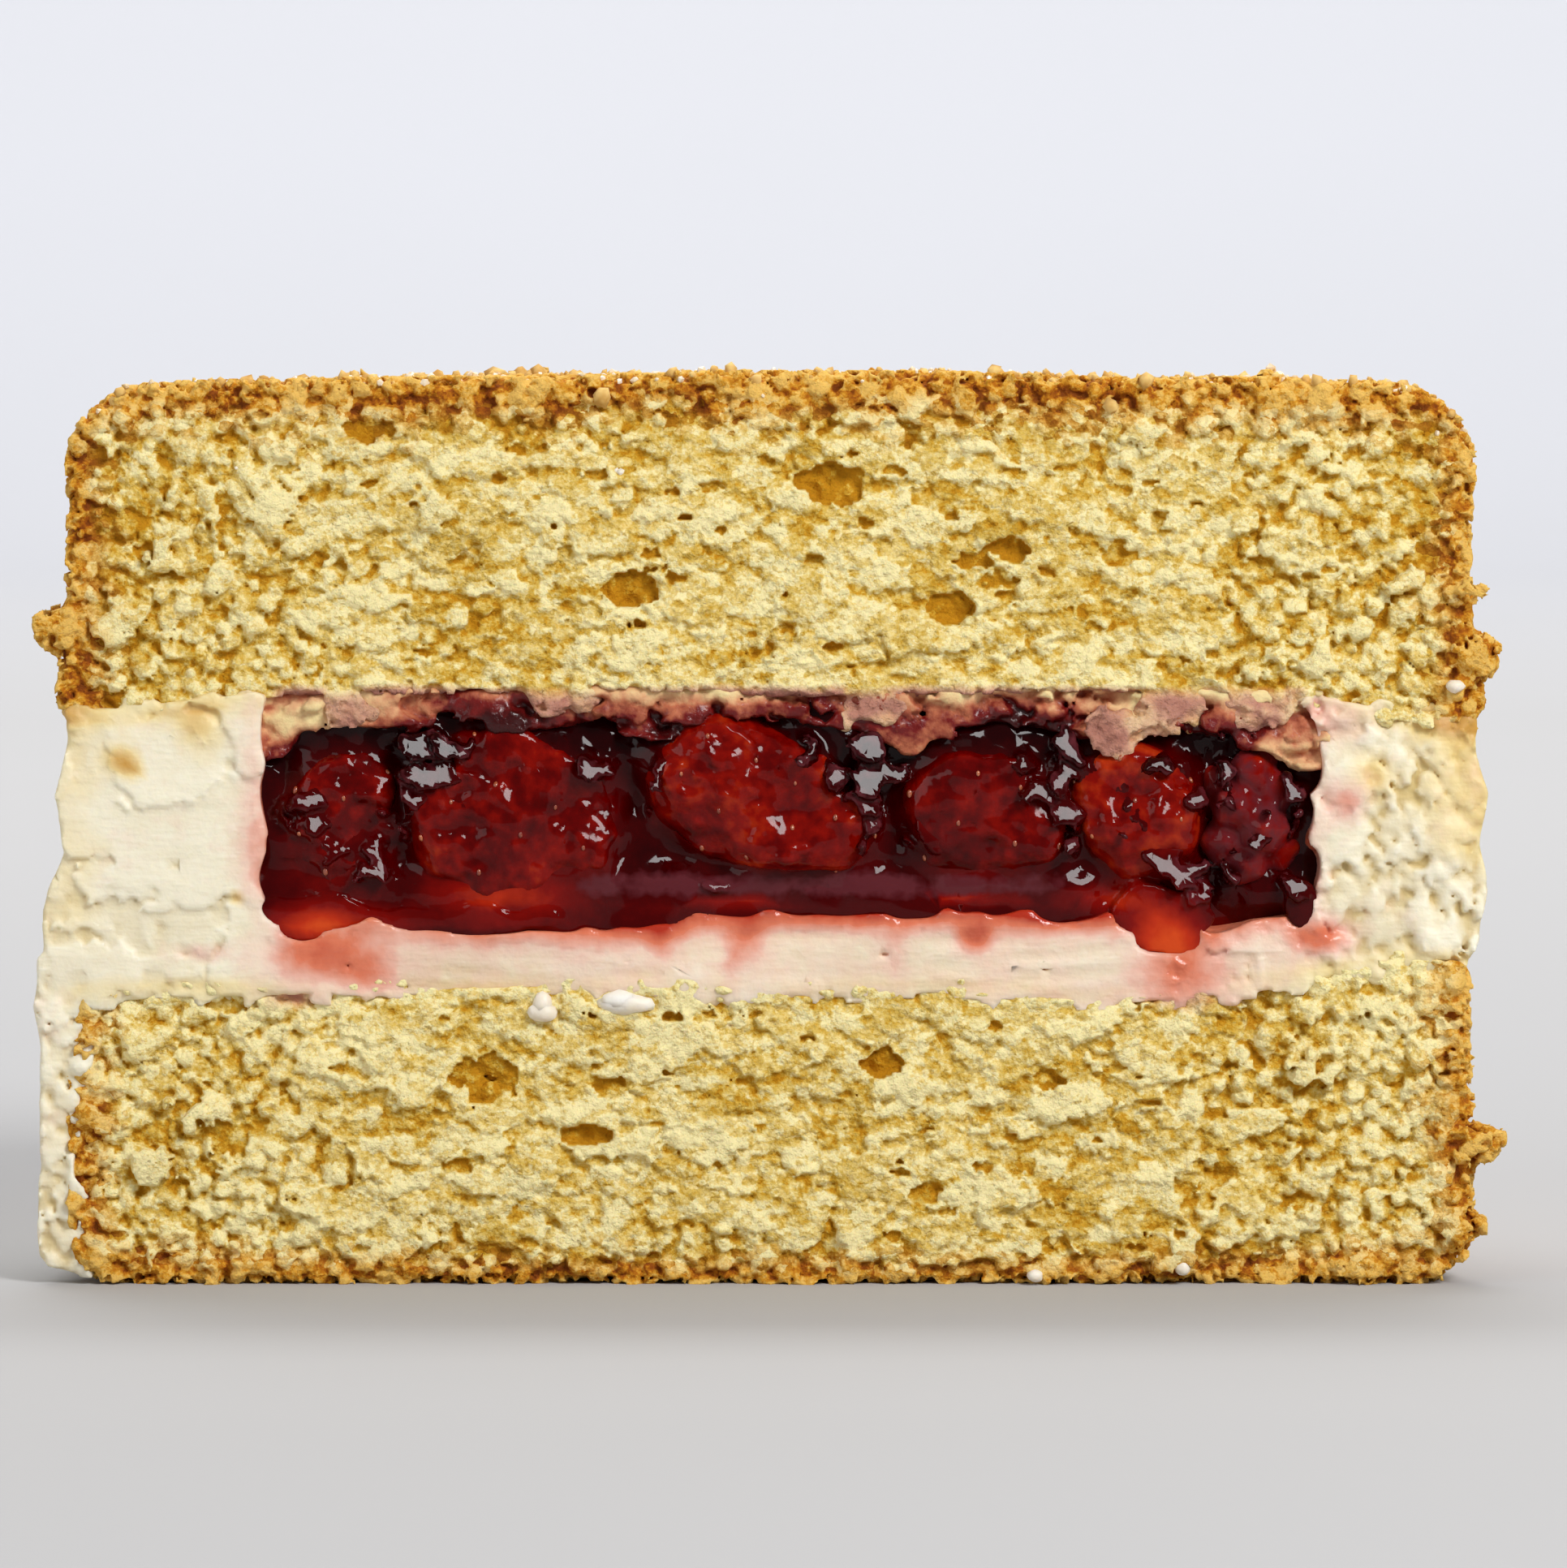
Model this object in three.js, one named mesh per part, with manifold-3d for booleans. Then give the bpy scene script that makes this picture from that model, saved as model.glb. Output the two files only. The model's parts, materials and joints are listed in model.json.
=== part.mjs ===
// Half of a small victoria sponge cake, cut straight across its middle: two round sponge layers
// with a filling of buttercream between them, and a pool of strawberry jam inside the buttercream.
//
// Millimetres, +Z up. The cut face looks along -Y. Every layer is first made as a whole round
// one, as a cake is, and is then cut in half by a knife whose face has the relief of torn crumb.
import * as THREE from "three";
import { mergeVertices } from "three/addons/utils/BufferGeometryUtils.js";
import Module from "manifold-3d";

const wasm = await Module();
wasm.setup();

// ---------------------------------------------------------------- driving dimensions

const CAKE_RADIUS = 36.9; // the sponges' crust
const CAKE_HEIGHT = 47.5; // from the plate to the middle of the dome
const LOW_SEAM = 15.6; // where the buttercream lies on the lower sponge
const HIGH_SEAM = 30.9; // where the upper sponge lies on the jam
const FILLING_RADIUS = 37.2;
const CLEARANCE = 0.35; // left between pieces that touch
const CUT_TO_MIDDLE = 18.2; // from the cut plane to the origin, the middle of the half cake's depth

const DOME_FALL = 0.7; // how much lower the top crust is at its edge
const TOP_CORNER = 3.0; // rounding of the upper sponge's top edge
const BASE_CORNER = 2.2; // rounding of the lower sponge's bottom edge
const SMALL_CORNER = 0.9; // rounding of the edges at the seams
const RING_SHARE = 0.82; // where the buttercream ring's top starts to sink, as a share of the radius
const RING_SINK = 1.3; // how much lower the high seam is over the ring

const JAM_RADIUS = 27.5;
const JAM_CENTRE_X = 0.95;
const JAM_FLOOR = 19.5; // the jam's underside
const JAM_RECESS = 0.9; // how far the jam has slumped back from the cut

const TURNS = 48; // flats round a whole layer
const RING_STEPS = 4; // rings across a layer's flat faces
const SIDE_STEPS = 4; // rows up a layer's side

// ---------------------------------------------------------------- small tools

const { lerp, smoothstep, degToRad } = THREE.MathUtils;

/** A repeatable number from 0 to 1 for three whole numbers. */
function hashed(i, j, k) {
  let h = Math.imul(i, 374761393) ^ Math.imul(j, 668265263) ^ Math.imul(k, 2147483647);
  h = Math.imul(h ^ (h >>> 13), 1274126177);
  return ((h ^ (h >>> 16)) >>> 0) / 4294967295;
}

/** Smooth noise from -1 to 1 whose lumps are about `size` across. `seed` picks another field. */
function lumps(x, y, z, size, seed = 0) {
  const at = [x, y, z].map((v) => v / size + 50 + seed * 7.31);
  const cell = at.map(Math.floor);
  const [u, v, w] = at.map((value, n) => smoothstep(value - cell[n], 0, 1));
  const corner = (a, b, c) => hashed(cell[0] + a, cell[1] + b, cell[2] + c);
  const row = (b, c) => lerp(corner(0, b, c), corner(1, b, c), u);
  const sheet = (c) => lerp(row(0, c), row(1, c), v);
  return 2 * lerp(sheet(0), sheet(1), w) - 1;
}

/** A closed three.js geometry as a manifold-3d solid. */
function solidFrom(geometry) {
  const loose = geometry.index ? geometry.toNonIndexed() : geometry;
  const bare = new THREE.BufferGeometry();
  bare.setAttribute("position", loose.getAttribute("position"));
  const merged = mergeVertices(bare, 1e-4);
  return new wasm.Manifold(
    new wasm.Mesh({
      numProp: 3,
      vertProperties: merged.attributes.position.array,
      triVerts: new Uint32Array(merged.index.array),
    }),
  );
}

/** The largest body of a solid, without the loose scraps that cutting leaves. */
function largestBody(solid) {
  return solid.decompose().reduce((a, b) => (a.volume() > b.volume() ? a : b));
}

/** A manifold-3d solid as a named three.js mesh. */
function meshFrom(name, solid, color, roughness) {
  const { vertProperties, triVerts } = largestBody(solid).getMesh();
  const geometry = new THREE.BufferGeometry();
  geometry.setAttribute("position", new THREE.BufferAttribute(vertProperties, 3));
  geometry.setIndex(new THREE.BufferAttribute(triVerts, 1));
  const flat = geometry.toNonIndexed();
  flat.computeVertexNormals();
  const mesh = new THREE.Mesh(
    flat,
    new THREE.MeshStandardMaterial({ color, roughness, metalness: 0 }),
  );
  mesh.name = name;
  return mesh;
}

/** Moves every vertex of a geometry to where `place(x, y, z)` says. */
function reshape(geometry, place) {
  const at = geometry.getAttribute("position");
  for (let i = 0; i < at.count; i++) {
    at.setXYZ(i, ...place(at.getX(i), at.getY(i), at.getZ(i)));
  }
  return geometry;
}

// ---------------------------------------------------------------- round layers

/** The lower sponge's top face, which the buttercream fills. */
function lowSeam(x, y) {
  const rise = 1.5 * smoothstep(x, 24, 34) - 0.9 * smoothstep(x, 8, 16) * smoothstep(-x, -26, -20);
  return LOW_SEAM + rise + 0.45 * lumps(x, y, 0, 8, 1);
}

/** The upper sponge's underside. It sinks into the ring of buttercream. */
function highSeam(x, y) {
  const outward = Math.hypot(x, y) / CAKE_RADIUS;
  return HIGH_SEAM - RING_SINK * smoothstep(outward, 0.7, RING_SHARE) + 0.45 * lumps(x, y, 0, 8, 2);
}

/** The top crust, a low dome. */
function dome(x, y) {
  const outward = Math.hypot(x, y) / CAKE_RADIUS;
  return CAKE_HEIGHT - DOME_FALL * outward ** 2 + 0.22 * lumps(x, y, 0, 9, 3);
}

/** Points of a rounded corner from one angle to another, both in degrees. */
function corner(r, z, radius, from, to, steps = radius > 1 ? 3 : 2) {
  return Array.from({ length: steps + 1 }, (_, i) => {
    const angle = degToRad(lerp(from, to, i / steps));
    return new THREE.Vector2(r + radius * Math.cos(angle), z + radius * Math.sin(angle));
  });
}

/**
 * A whole round layer. `floor` and `roof` give its height at (x, y), `bulge(z, x, y)` says how far
 * its side stands out there, and the corners are its roundings. A layer without a `floor` is flat
 * below. All layers have the same rings and flats, so two that share a seam follow it alike.
 */
function roundLayer({ radius, bottom, top, floor, roof, bulge, baseCorner, topCorner }) {
  const ring = (i) => (i / RING_STEPS) * (CAKE_RADIUS - TOP_CORNER);
  const rings = Array.from({ length: RING_STEPS + 1 }, (_, i) => ring(i));
  const floorRings = floor ? rings : [rings[0], rings[RING_STEPS]];
  const sideLow = bottom + baseCorner;
  const sideHigh = top - topCorner;
  const profile = [
    ...floorRings.map((r) => new THREE.Vector2(r, bottom)),
    ...corner(radius - baseCorner, sideLow, baseCorner, -75, 0),
    ...Array.from({ length: SIDE_STEPS - 1 }, (_, i) => {
      return new THREE.Vector2(radius, lerp(sideLow, sideHigh, (i + 1) / SIDE_STEPS));
    }),
    ...corner(radius - topCorner, sideHigh, topCorner, 0, 75),
    ...rings.reverse().map((r) => new THREE.Vector2(r, top)),
  ];
  const turned = new THREE.LatheGeometry(profile, TURNS).rotateX(Math.PI / 2);
  return solidFrom(
    reshape(turned, (x, y, z) => {
      const outward = Math.hypot(x, y);
      const share = (z - bottom) / (top - bottom);
      const side = smoothstep(outward, radius - 3, radius);
      const out = outward > 0 ? 1 + (side * bulge(z, x, y)) / outward : 1;
      const [px, py] = [x * out, y * out];
      const sunk = floor ? (1 - share) * (floor(px, py) - bottom) : 0;
      return [px, py, z + sunk + share * (roof(px, py) - top)];
    }),
  );
}

/** The crumbly crust: uneven by a fraction of a millimetre. */
function crustBulge(z, x, y) {
  return 0.45 * lumps(x, y, z, 4, 4) + 0.3 * lumps(x, y, z, 12, 5);
}

/** Two piped rounds of buttercream, one on the other, smoothed with a knife. */
function creamBulge(z, x, y) {
  const middle = (LOW_SEAM + HIGH_SEAM - RING_SINK) / 2;
  const rounds = Math.abs(Math.sin((Math.PI * (z - LOW_SEAM)) / (middle - LOW_SEAM)));
  const leftStep = 0.7 * smoothstep(-x, 20, 36) * smoothstep(middle - z, -0.6, 0.6);
  return 0.7 * rounds - 0.45 + leftStep + 0.35 * lumps(x, y, z, 7, 6);
}

function lowerSponge(grown = 0) {
  return roundLayer({
    radius: CAKE_RADIUS - 0.2 + grown,
    bottom: 0,
    top: LOW_SEAM + grown,
    roof: (x, y) => lowSeam(x, y) + grown,
    bulge: (z, x, y) => crustBulge(z, x, y) * smoothstep(z, 0, BASE_CORNER),
    baseCorner: BASE_CORNER,
    topCorner: SMALL_CORNER,
  });
}

function upperSponge() {
  return roundLayer({
    radius: CAKE_RADIUS - 0.1,
    bottom: HIGH_SEAM,
    top: CAKE_HEIGHT,
    floor: highSeam,
    roof: dome,
    bulge: (z, x, y) => {
      const flare = 0.9 * smoothstep(-z, -HIGH_SEAM - 5, -HIGH_SEAM);
      return crustBulge(z, x, y) + flare;
    },
    baseCorner: SMALL_CORNER,
    topCorner: TOP_CORNER,
  });
}

function filling() {
  return roundLayer({
    radius: FILLING_RADIUS,
    bottom: LOW_SEAM + CLEARANCE,
    top: HIGH_SEAM - CLEARANCE,
    floor: (x, y) => lowSeam(x, y) + CLEARANCE,
    roof: (x, y) => highSeam(x, y) - CLEARANCE,
    bulge: creamBulge,
    baseCorner: SMALL_CORNER,
    topCorner: SMALL_CORNER,
  });
}

/** The pool that holds the jam, a shallow cup. `shrunk` makes the jam's own, smaller shape. */
function pool(shrunk = 0) {
  const wall = JAM_RADIUS - shrunk;
  const floor = JAM_FLOOR + shrunk;
  const brim = HIGH_SEAM + 2 - shrunk;
  const flat = [0, 8, 16, 22].map((r) => new THREE.Vector2(r, floor));
  const profile = [
    ...flat,
    ...corner(wall - 1.5, floor + 1.5, 1.5, -75, 0),
    new THREE.Vector2(wall, (floor + brim) / 2),
    new THREE.Vector2(wall, brim),
    new THREE.Vector2(0, brim),
  ];
  const cup = new THREE.LatheGeometry(profile, 34).rotateX(Math.PI / 2);
  return solidFrom(
    reshape(cup, (x, y, z) => {
      const low = smoothstep(-z, -floor - 4, -floor);
      const sag = 1.3 * Math.exp(-(((x + 14) / 6) ** 2)) + 1.3 * Math.exp(-(((x - 20) / 3) ** 2));
      return [x + JAM_CENTRE_X, y, z - low * sag + 0.3 * low * lumps(x, y, 0, 6, 7)];
    }),
  );
}

// ---------------------------------------------------------------- the cut

const KNIFE_DEPTH = 60;
const CUT_PITCH = 1.9; // spacing of the relief's points over the cut face
const CLUMP_REACH = 0.7; // how far clumps of crumb stand in front of the cut plane

/**
 * The knife: a block in front of the cut plane, from height `low` to `high`. relief(x, z) is how
 * far behind the plane its face reaches, and is below 0 where the food stands proud.
 */
function knife(low, high, relief, pitch = CUT_PITCH) {
  const width = 2 * FILLING_RADIUS + 8;
  const [columns, rows] = [Math.round(width / pitch), Math.round((high - low) / pitch)];
  const block = new THREE.BoxGeometry(width, KNIFE_DEPTH, high - low, columns, 1, rows);
  block.translate(0, -KNIFE_DEPTH / 2, (low + high) / 2);
  return solidFrom(
    reshape(block, (x, y, z) => {
      const inner = z > low + pitch / 2 && z < high - pitch / 2 && y > -1;
      const shift = inner ? 0.3 * pitch : 0;
      const [px, pz] = [x + shift * lumps(x, 0, z, 0.9, 8), z + shift * lumps(x, 0, z, 0.9, 9)];
      return [px, y > -1 ? relief(px, pz) : y, pz];
    }),
  );
}

/** Torn crumb: broad hollows, clumps, and more raggedness towards the crust. */
function crumbRelief(x, z) {
  const ragged = lerp(0.55, 0.8, smoothstep(Math.abs(x), 24, 36));
  return 0.35 * lumps(x, 0, z, 9, 10) + ragged * lumps(x * 0.75, 0, z, 1.9, 11) + 0.1;
}

/** Buttercream cut by the knife: nearly flat, with shallow pits and drag marks. */
function creamRelief(x, z) {
  const whipped = lerp(0.12, 0.34, smoothstep(x, 20, 30));
  return 0.2 * lumps(x, 0, z, 6, 12) + whipped * lumps(x, 0, z, 1.6, 13);
}

/** Jam that has slumped back between the fruit, furthest under the upper sponge. */
function jamRelief(x, z) {
  const under = smoothstep(z, HIGH_SEAM - 4, HIGH_SEAM - 1);
  return lerp(JAM_RECESS, 0.2, smoothstep(-z, -JAM_FLOOR - 2.6, -JAM_FLOOR)) + 0.5 * under
    + 0.35 * lumps(x, 0, z, 3, 14);
}

/** An air hole that the cut has opened, `deep` from the cut plane. */
function airHole({ x, z, width, height, deep = 2.2 }) {
  const ball = new THREE.IcosahedronGeometry(1, width * height > 4 ? 1 : 0);
  reshape(ball, (a, b, c) => {
    const uneven = 1 + 0.22 * lumps(a + x, b, c + z, 0.8, 15);
    return [a * uneven * width * 0.55, b * deep, c * uneven * height * 0.55];
  });
  return solidFrom(ball.translate(x, 0, z));
}

/** A clump of crumb or crust that stands out of a sponge, `grown` for what must clear it. */
function clump({ x, z, size, seed }, grown = 0) {
  const ball = new THREE.IcosahedronGeometry(1, size[0] * size[2] > 2 ? 1 : 0);
  reshape(ball, (a, b, c) => {
    const uneven = 1 + 0.25 * lumps(a, b, c, 0.9, seed);
    return [a, b, c].map((v, n) => v * (uneven * size[n] + grown));
  });
  return solidFrom(ball.translate(x, size[1] - CLUMP_REACH, z));
}

const UPPER_HOLES = [
  { x: 3.1, z: 41.8, width: 3.5, height: 2.5, deep: 2.6 },
  { x: -7.2, z: 36.3, width: 2.9, height: 2.0 },
  { x: 9.4, z: 35.4, width: 2.4, height: 1.9 },
  { x: 12.5, z: 38.5, width: 2.2, height: 1.1 },
  { x: 18.1, z: 38.0, width: 1.8, height: 1.2 },
  { x: 34.4, z: 38.0, width: 3.0, height: 1.5 },
  { x: -21.0, z: 44.6, width: 2.4, height: 1.4 },
  { x: -28.2, z: 39.8, width: 1.3, height: 3.2 },
];

const LOWER_HOLES = [
  { x: -14.9, z: 10.8, width: 3.3, height: 2.9, deep: 2.6 },
  { x: -8.5, z: 10.5, width: 2.2, height: 1.0 },
  { x: -9.6, z: 7.8, width: 2.7, height: 1.3 },
  { x: 5.8, z: 11.6, width: 2.6, height: 1.6 },
  { x: 14.7, z: 10.7, width: 1.9, height: 1.2 },
  { x: 8.1, z: 4.7, width: 1.8, height: 1.2 },
  { x: -28.2, z: 7.6, width: 2.0, height: 2.4 },
];

const UPPER_CLUMPS = [
  { x: -37.0, z: 34.3, size: [1.5, 2.2, 1.5], seed: 21 },
  { x: -32.4, z: 33.6, size: [2.4, 0.9, 1.1], seed: 22 },
  { x: -17.5, z: 40.6, size: [2.2, 0.9, 1.9], seed: 23 },
  { x: 36.6, z: 36.2, size: [1.4, 2.0, 1.2], seed: 24 },
  { x: 36.7, z: 33.0, size: [1.6, 2.4, 1.5], seed: 25 },
];

const LOWER_CLUMPS = [
  { x: 36.6, z: 7.4, size: [2.1, 2.2, 1.2], seed: 31 },
  { x: 35.7, z: 3.0, size: [1.9, 2.2, 1.1], seed: 32 },
  { x: 36.4, z: 11.4, size: [1.3, 1.8, 1.2], seed: 33 },
  { x: 28.3, z: 11.2, size: [1.4, 0.9, 2.0], seed: 34 },
  { x: -32.5, z: 6.3, size: [1.8, 0.9, 1.1], seed: 35 },
  { x: 21.4, z: 1.6, size: [1.3, 1.4, 1.1], seed: 36 },
];

// ---------------------------------------------------------------- the pieces

/** Sugar crystals that lie on the top crust, spread evenly by the golden angle. */
function sugarCrystals(count = 36, size = 1.2) {
  const goldenAngle = Math.PI * (3 - Math.sqrt(5));
  const reach = CAKE_RADIUS - TOP_CORNER;
  return Array.from({ length: count }, (_, i) => {
    const outward = reach * Math.sqrt((i + 0.5) / count);
    const angle = i * goldenAngle;
    const [x, y] = [outward * Math.cos(angle), outward * Math.sin(angle)];
    const grow = size * (0.75 + 0.5 * hashed(i, 1, 1));
    const crystal = new THREE.OctahedronGeometry(0.62, 0).scale(grow, grow * 0.8, grow * 0.75);
    crystal.rotateX(hashed(i, 2, 2) * 3).rotateZ(hashed(i, 3, 3) * 6);
    return y < 2 ? null : solidFrom(crystal.translate(x, y, dome(x, y) + 0.12));
  }).filter(Boolean);
}

/** A sponge layer cut in half, with its air holes and the clumps that stand out. */
function cutSponge(layer, low, high, holes, clumps) {
  let sponge = layer.subtract(knife(low, high, crumbRelief));
  for (const place of holes) sponge = sponge.subtract(airHole(place));
  for (const place of clumps) sponge = sponge.add(clump(place));
  return sponge;
}

/** A solid with room cut in it for the clumps that stand out of its neighbour. */
function cutAround(solid, clumps) {
  return clumps.reduce((rest, place) => rest.subtract(clump(place, CLEARANCE)), solid);
}

/** What the cake stands on, as a tool that cuts its clumps off level. */
function plate(size = 3 * CAKE_RADIUS, thickness = 6) {
  return solidFrom(new THREE.BoxGeometry(size, size, thickness).translate(0, 0, -thickness / 2));
}

/**
 * Buttercream smeared down the lower sponge's side, thickest at the left of the cut. It is a wide
 * collar that only comes out of the sponge where `smear` is above 0.
 */
function smearedCollar() {
  const [low, high] = [0.9, LOW_SEAM + 1.6];
  const inner = CAKE_RADIUS - 2;
  const rows = 6;
  const wall = Array.from({ length: rows + 1 }, (_, i) => {
    return new THREE.Vector2(CAKE_RADIUS, lerp(low, high, i / rows));
  });
  const profile = [new THREE.Vector2(inner, low), ...wall, new THREE.Vector2(inner, high)];
  profile.push(profile[0].clone());
  const ring = new THREE.LatheGeometry(profile, TURNS).rotateX(Math.PI / 2);
  return solidFrom(
    reshape(ring, (x, y, z) => {
      const outward = Math.hypot(x, y);
      if (outward < inner + 0.5) return [x, y, z];
      const left = smoothstep(-x, 20, 33) * smoothstep(z + 2 * lumps(x, y, 0, 5, 16), 0, 1.5);
      const right = smoothstep(x, 30, 36) * smoothstep(z, 9, 13);
      const smear = 2.3 * left + 1.8 * right + 0.5 * lumps(x, y, z, 4, 17) - 0.9;
      const out = (outward + smear) / outward;
      return [x * out, y * out, z];
    }),
  );
}

/** A piece of strawberry, widest at one end, `grown` by a clearance for the hole it lies in. */
function strawberry({ x, z, half, tilt = 0, front = 0.3, seed }, grown = 0) {
  const berry = new THREE.IcosahedronGeometry(1, 2);
  const [length, depth, height] = half;
  reshape(berry, (a, b, c) => {
    const taper = 1 - 0.22 * a;
    const wrinkled = 1 + 0.13 * lumps(a, b, c, 0.55, seed);
    const scale = (size) => size * wrinkled + grown;
    return [a * scale(length), b * scale(depth) * taper, c * scale(height) * taper];
  });
  berry.rotateY(degToRad(tilt));
  return solidFrom(berry.translate(x, depth - front, z));
}

const STRAWBERRIES = [
  { x: -22.4, z: 24.1, half: [2.9, 3.1, 4.0], tilt: 20, front: 0.1, seed: 41 },
  { x: -13.2, z: 24.5, half: [6.2, 5.0, 4.8], tilt: 0, front: 0.3, seed: 42 },
  { x: -0.2, z: 25.3, half: [6.0, 4.8, 3.6], tilt: 24, front: 1.1, seed: 43 },
  { x: 11.5, z: 24.6, half: [4.5, 4.5, 3.7], tilt: 12, front: 0.6, seed: 44 },
  { x: 19.2, z: 25.0, half: [3.3, 4.0, 3.6], tilt: -30, front: 0.5, seed: 45 },
];

const RASPBERRY = { x: 25.0, y: 2.5, z: 24.4, radius: 1.9, stretch: 1.7, drupelet: 1.2, count: 18 };

/** A raspberry: drupelets spread evenly over an egg. */
function raspberry({ x, y, z, radius, stretch, drupelet, count }) {
  const goldenAngle = Math.PI * (3 - Math.sqrt(5));
  const egg = new THREE.IcosahedronGeometry(radius, 0).scale(1, 1, stretch);
  const beads = Array.from({ length: count }, (_, i) => {
    const up = 1 - (2 * (i + 0.5)) / count;
    const across = Math.sqrt(1 - up * up) * (radius - 0.3);
    const size = drupelet * (0.85 + 0.3 * hashed(i, 4, 4));
    const bead = new THREE.IcosahedronGeometry(size, 0).rotateZ(i);
    const turn = i * goldenAngle;
    return bead.translate(across * Math.cos(turn), across * Math.sin(turn), up * radius * stretch);
  });
  const whole = [egg, ...beads].map((shape) => solidFrom(shape.translate(x, y, z)));
  return whole.reduce((berry, bead) => berry.add(bead));
}

/** The hollow that the raspberry lies in. */
function raspberryHollow({ x, y, z, radius, stretch, drupelet }) {
  const reach = 1.05 * drupelet + 1.6 * CLEARANCE;
  const egg = new THREE.IcosahedronGeometry(1, 1);
  egg.scale(radius + reach, radius + reach, radius * stretch + reach);
  return solidFrom(egg.translate(x, y, z));
}

const lower = cutSponge(
  lowerSponge(),
  -2,
  LOW_SEAM + 3,
  LOWER_HOLES,
  LOWER_CLUMPS,
).subtract(plate());

const crystals = sugarCrystals();
const upper = crystals.reduce(
  (cake, crystal) => cake.add(crystal),
  cutSponge(upperSponge(), HIGH_SEAM - 4, CAKE_HEIGHT + 2, UPPER_HOLES, UPPER_CLUMPS),
);

const wholeFilling = cutAround(filling(), UPPER_CLUMPS);
const creamCut = knife(-1, HIGH_SEAM + 3, creamRelief);
const smear = cutAround(smearedCollar().subtract(lowerSponge(CLEARANCE)), LOWER_CLUMPS);
const buttercream = wholeFilling.subtract(pool()).add(smear).subtract(creamCut);

const jamCut = knife(JAM_FLOOR - 4, HIGH_SEAM + 3, jamRelief);
let jam = wholeFilling.intersect(pool(CLEARANCE)).subtract(jamCut);
for (const place of STRAWBERRIES) jam = jam.subtract(strawberry(place, CLEARANCE));
jam = jam.subtract(raspberryHollow(RASPBERRY));

const CRUMB = 0xdcc27c;
const CREAM = 0xeee4c8;
const JAM = 0x5a0a0c;
const FRUIT = 0x7a0f0d;

const pieces = [
  meshFrom("sponge_lower", lower, CRUMB, 0.95),
  meshFrom("buttercream", buttercream, CREAM, 0.6),
  meshFrom("jam", jam, JAM, 0.15),
  ...STRAWBERRIES.map((place, i) => {
    return meshFrom(`strawberry_${i + 1}`, strawberry(place), FRUIT, 0.2);
  }),
  meshFrom("raspberry", raspberry(RASPBERRY), FRUIT, 0.2),
  meshFrom("sponge_upper", upper, CRUMB, 0.95),
];

const cake = new THREE.Group();
cake.add(...pieces);
cake.position.y = -CUT_TO_MIDDLE;

export default cake;
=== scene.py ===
# %% [markdown]
# # Half of a small victoria sponge cake
# Two round layers of sponge with buttercream between them, and strawberry jam with fruit inside
# the ring of buttercream. A knife has gone straight down through the middle, so one side is a
# flat face of torn crumb and the other is the round, browned outside of the cake.
#
# The CAD part is loaded first, as a fixed frame. It already has each piece at its real size, but
# its faces are coarse. Everything below dresses it.

import json

import bmesh
import bpy
import numpy as np
import openvdb
from mathutils import Euler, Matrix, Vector
from mathutils.bvhtree import BVHTree

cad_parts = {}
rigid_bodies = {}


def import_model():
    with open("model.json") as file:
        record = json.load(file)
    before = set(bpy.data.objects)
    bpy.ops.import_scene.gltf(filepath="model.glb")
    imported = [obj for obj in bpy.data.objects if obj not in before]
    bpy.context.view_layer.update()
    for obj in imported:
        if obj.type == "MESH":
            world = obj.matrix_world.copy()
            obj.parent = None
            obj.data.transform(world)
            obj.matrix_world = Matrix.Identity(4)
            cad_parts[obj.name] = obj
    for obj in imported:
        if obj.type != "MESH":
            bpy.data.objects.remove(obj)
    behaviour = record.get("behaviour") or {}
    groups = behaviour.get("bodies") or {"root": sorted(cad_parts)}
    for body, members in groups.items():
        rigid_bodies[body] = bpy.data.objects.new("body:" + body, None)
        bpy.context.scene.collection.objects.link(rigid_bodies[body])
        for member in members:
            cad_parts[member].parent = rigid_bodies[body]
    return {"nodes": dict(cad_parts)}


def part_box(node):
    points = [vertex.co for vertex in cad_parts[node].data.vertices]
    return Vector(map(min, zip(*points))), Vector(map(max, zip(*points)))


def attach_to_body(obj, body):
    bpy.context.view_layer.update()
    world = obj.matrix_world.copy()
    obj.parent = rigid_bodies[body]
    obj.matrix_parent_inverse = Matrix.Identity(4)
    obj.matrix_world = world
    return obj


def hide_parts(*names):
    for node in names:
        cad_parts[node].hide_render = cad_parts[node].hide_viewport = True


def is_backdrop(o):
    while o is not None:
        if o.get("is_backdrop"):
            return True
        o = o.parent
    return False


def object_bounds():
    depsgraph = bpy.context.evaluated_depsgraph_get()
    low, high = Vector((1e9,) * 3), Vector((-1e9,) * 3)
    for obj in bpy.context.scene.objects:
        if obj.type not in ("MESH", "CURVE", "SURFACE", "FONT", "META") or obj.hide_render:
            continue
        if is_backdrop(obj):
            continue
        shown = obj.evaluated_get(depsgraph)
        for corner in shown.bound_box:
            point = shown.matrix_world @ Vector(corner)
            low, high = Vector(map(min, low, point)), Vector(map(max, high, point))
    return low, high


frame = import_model()
cad_box = [list(corner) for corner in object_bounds()]
print("CAD box, metres:", cad_box)

# %% [markdown]
# ## Measures
# Shapes are worked out in millimetres and written to Blender in metres. The middle of the round
# cake lies on the plane of the cut, so distances from the crust are measured from there.

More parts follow.
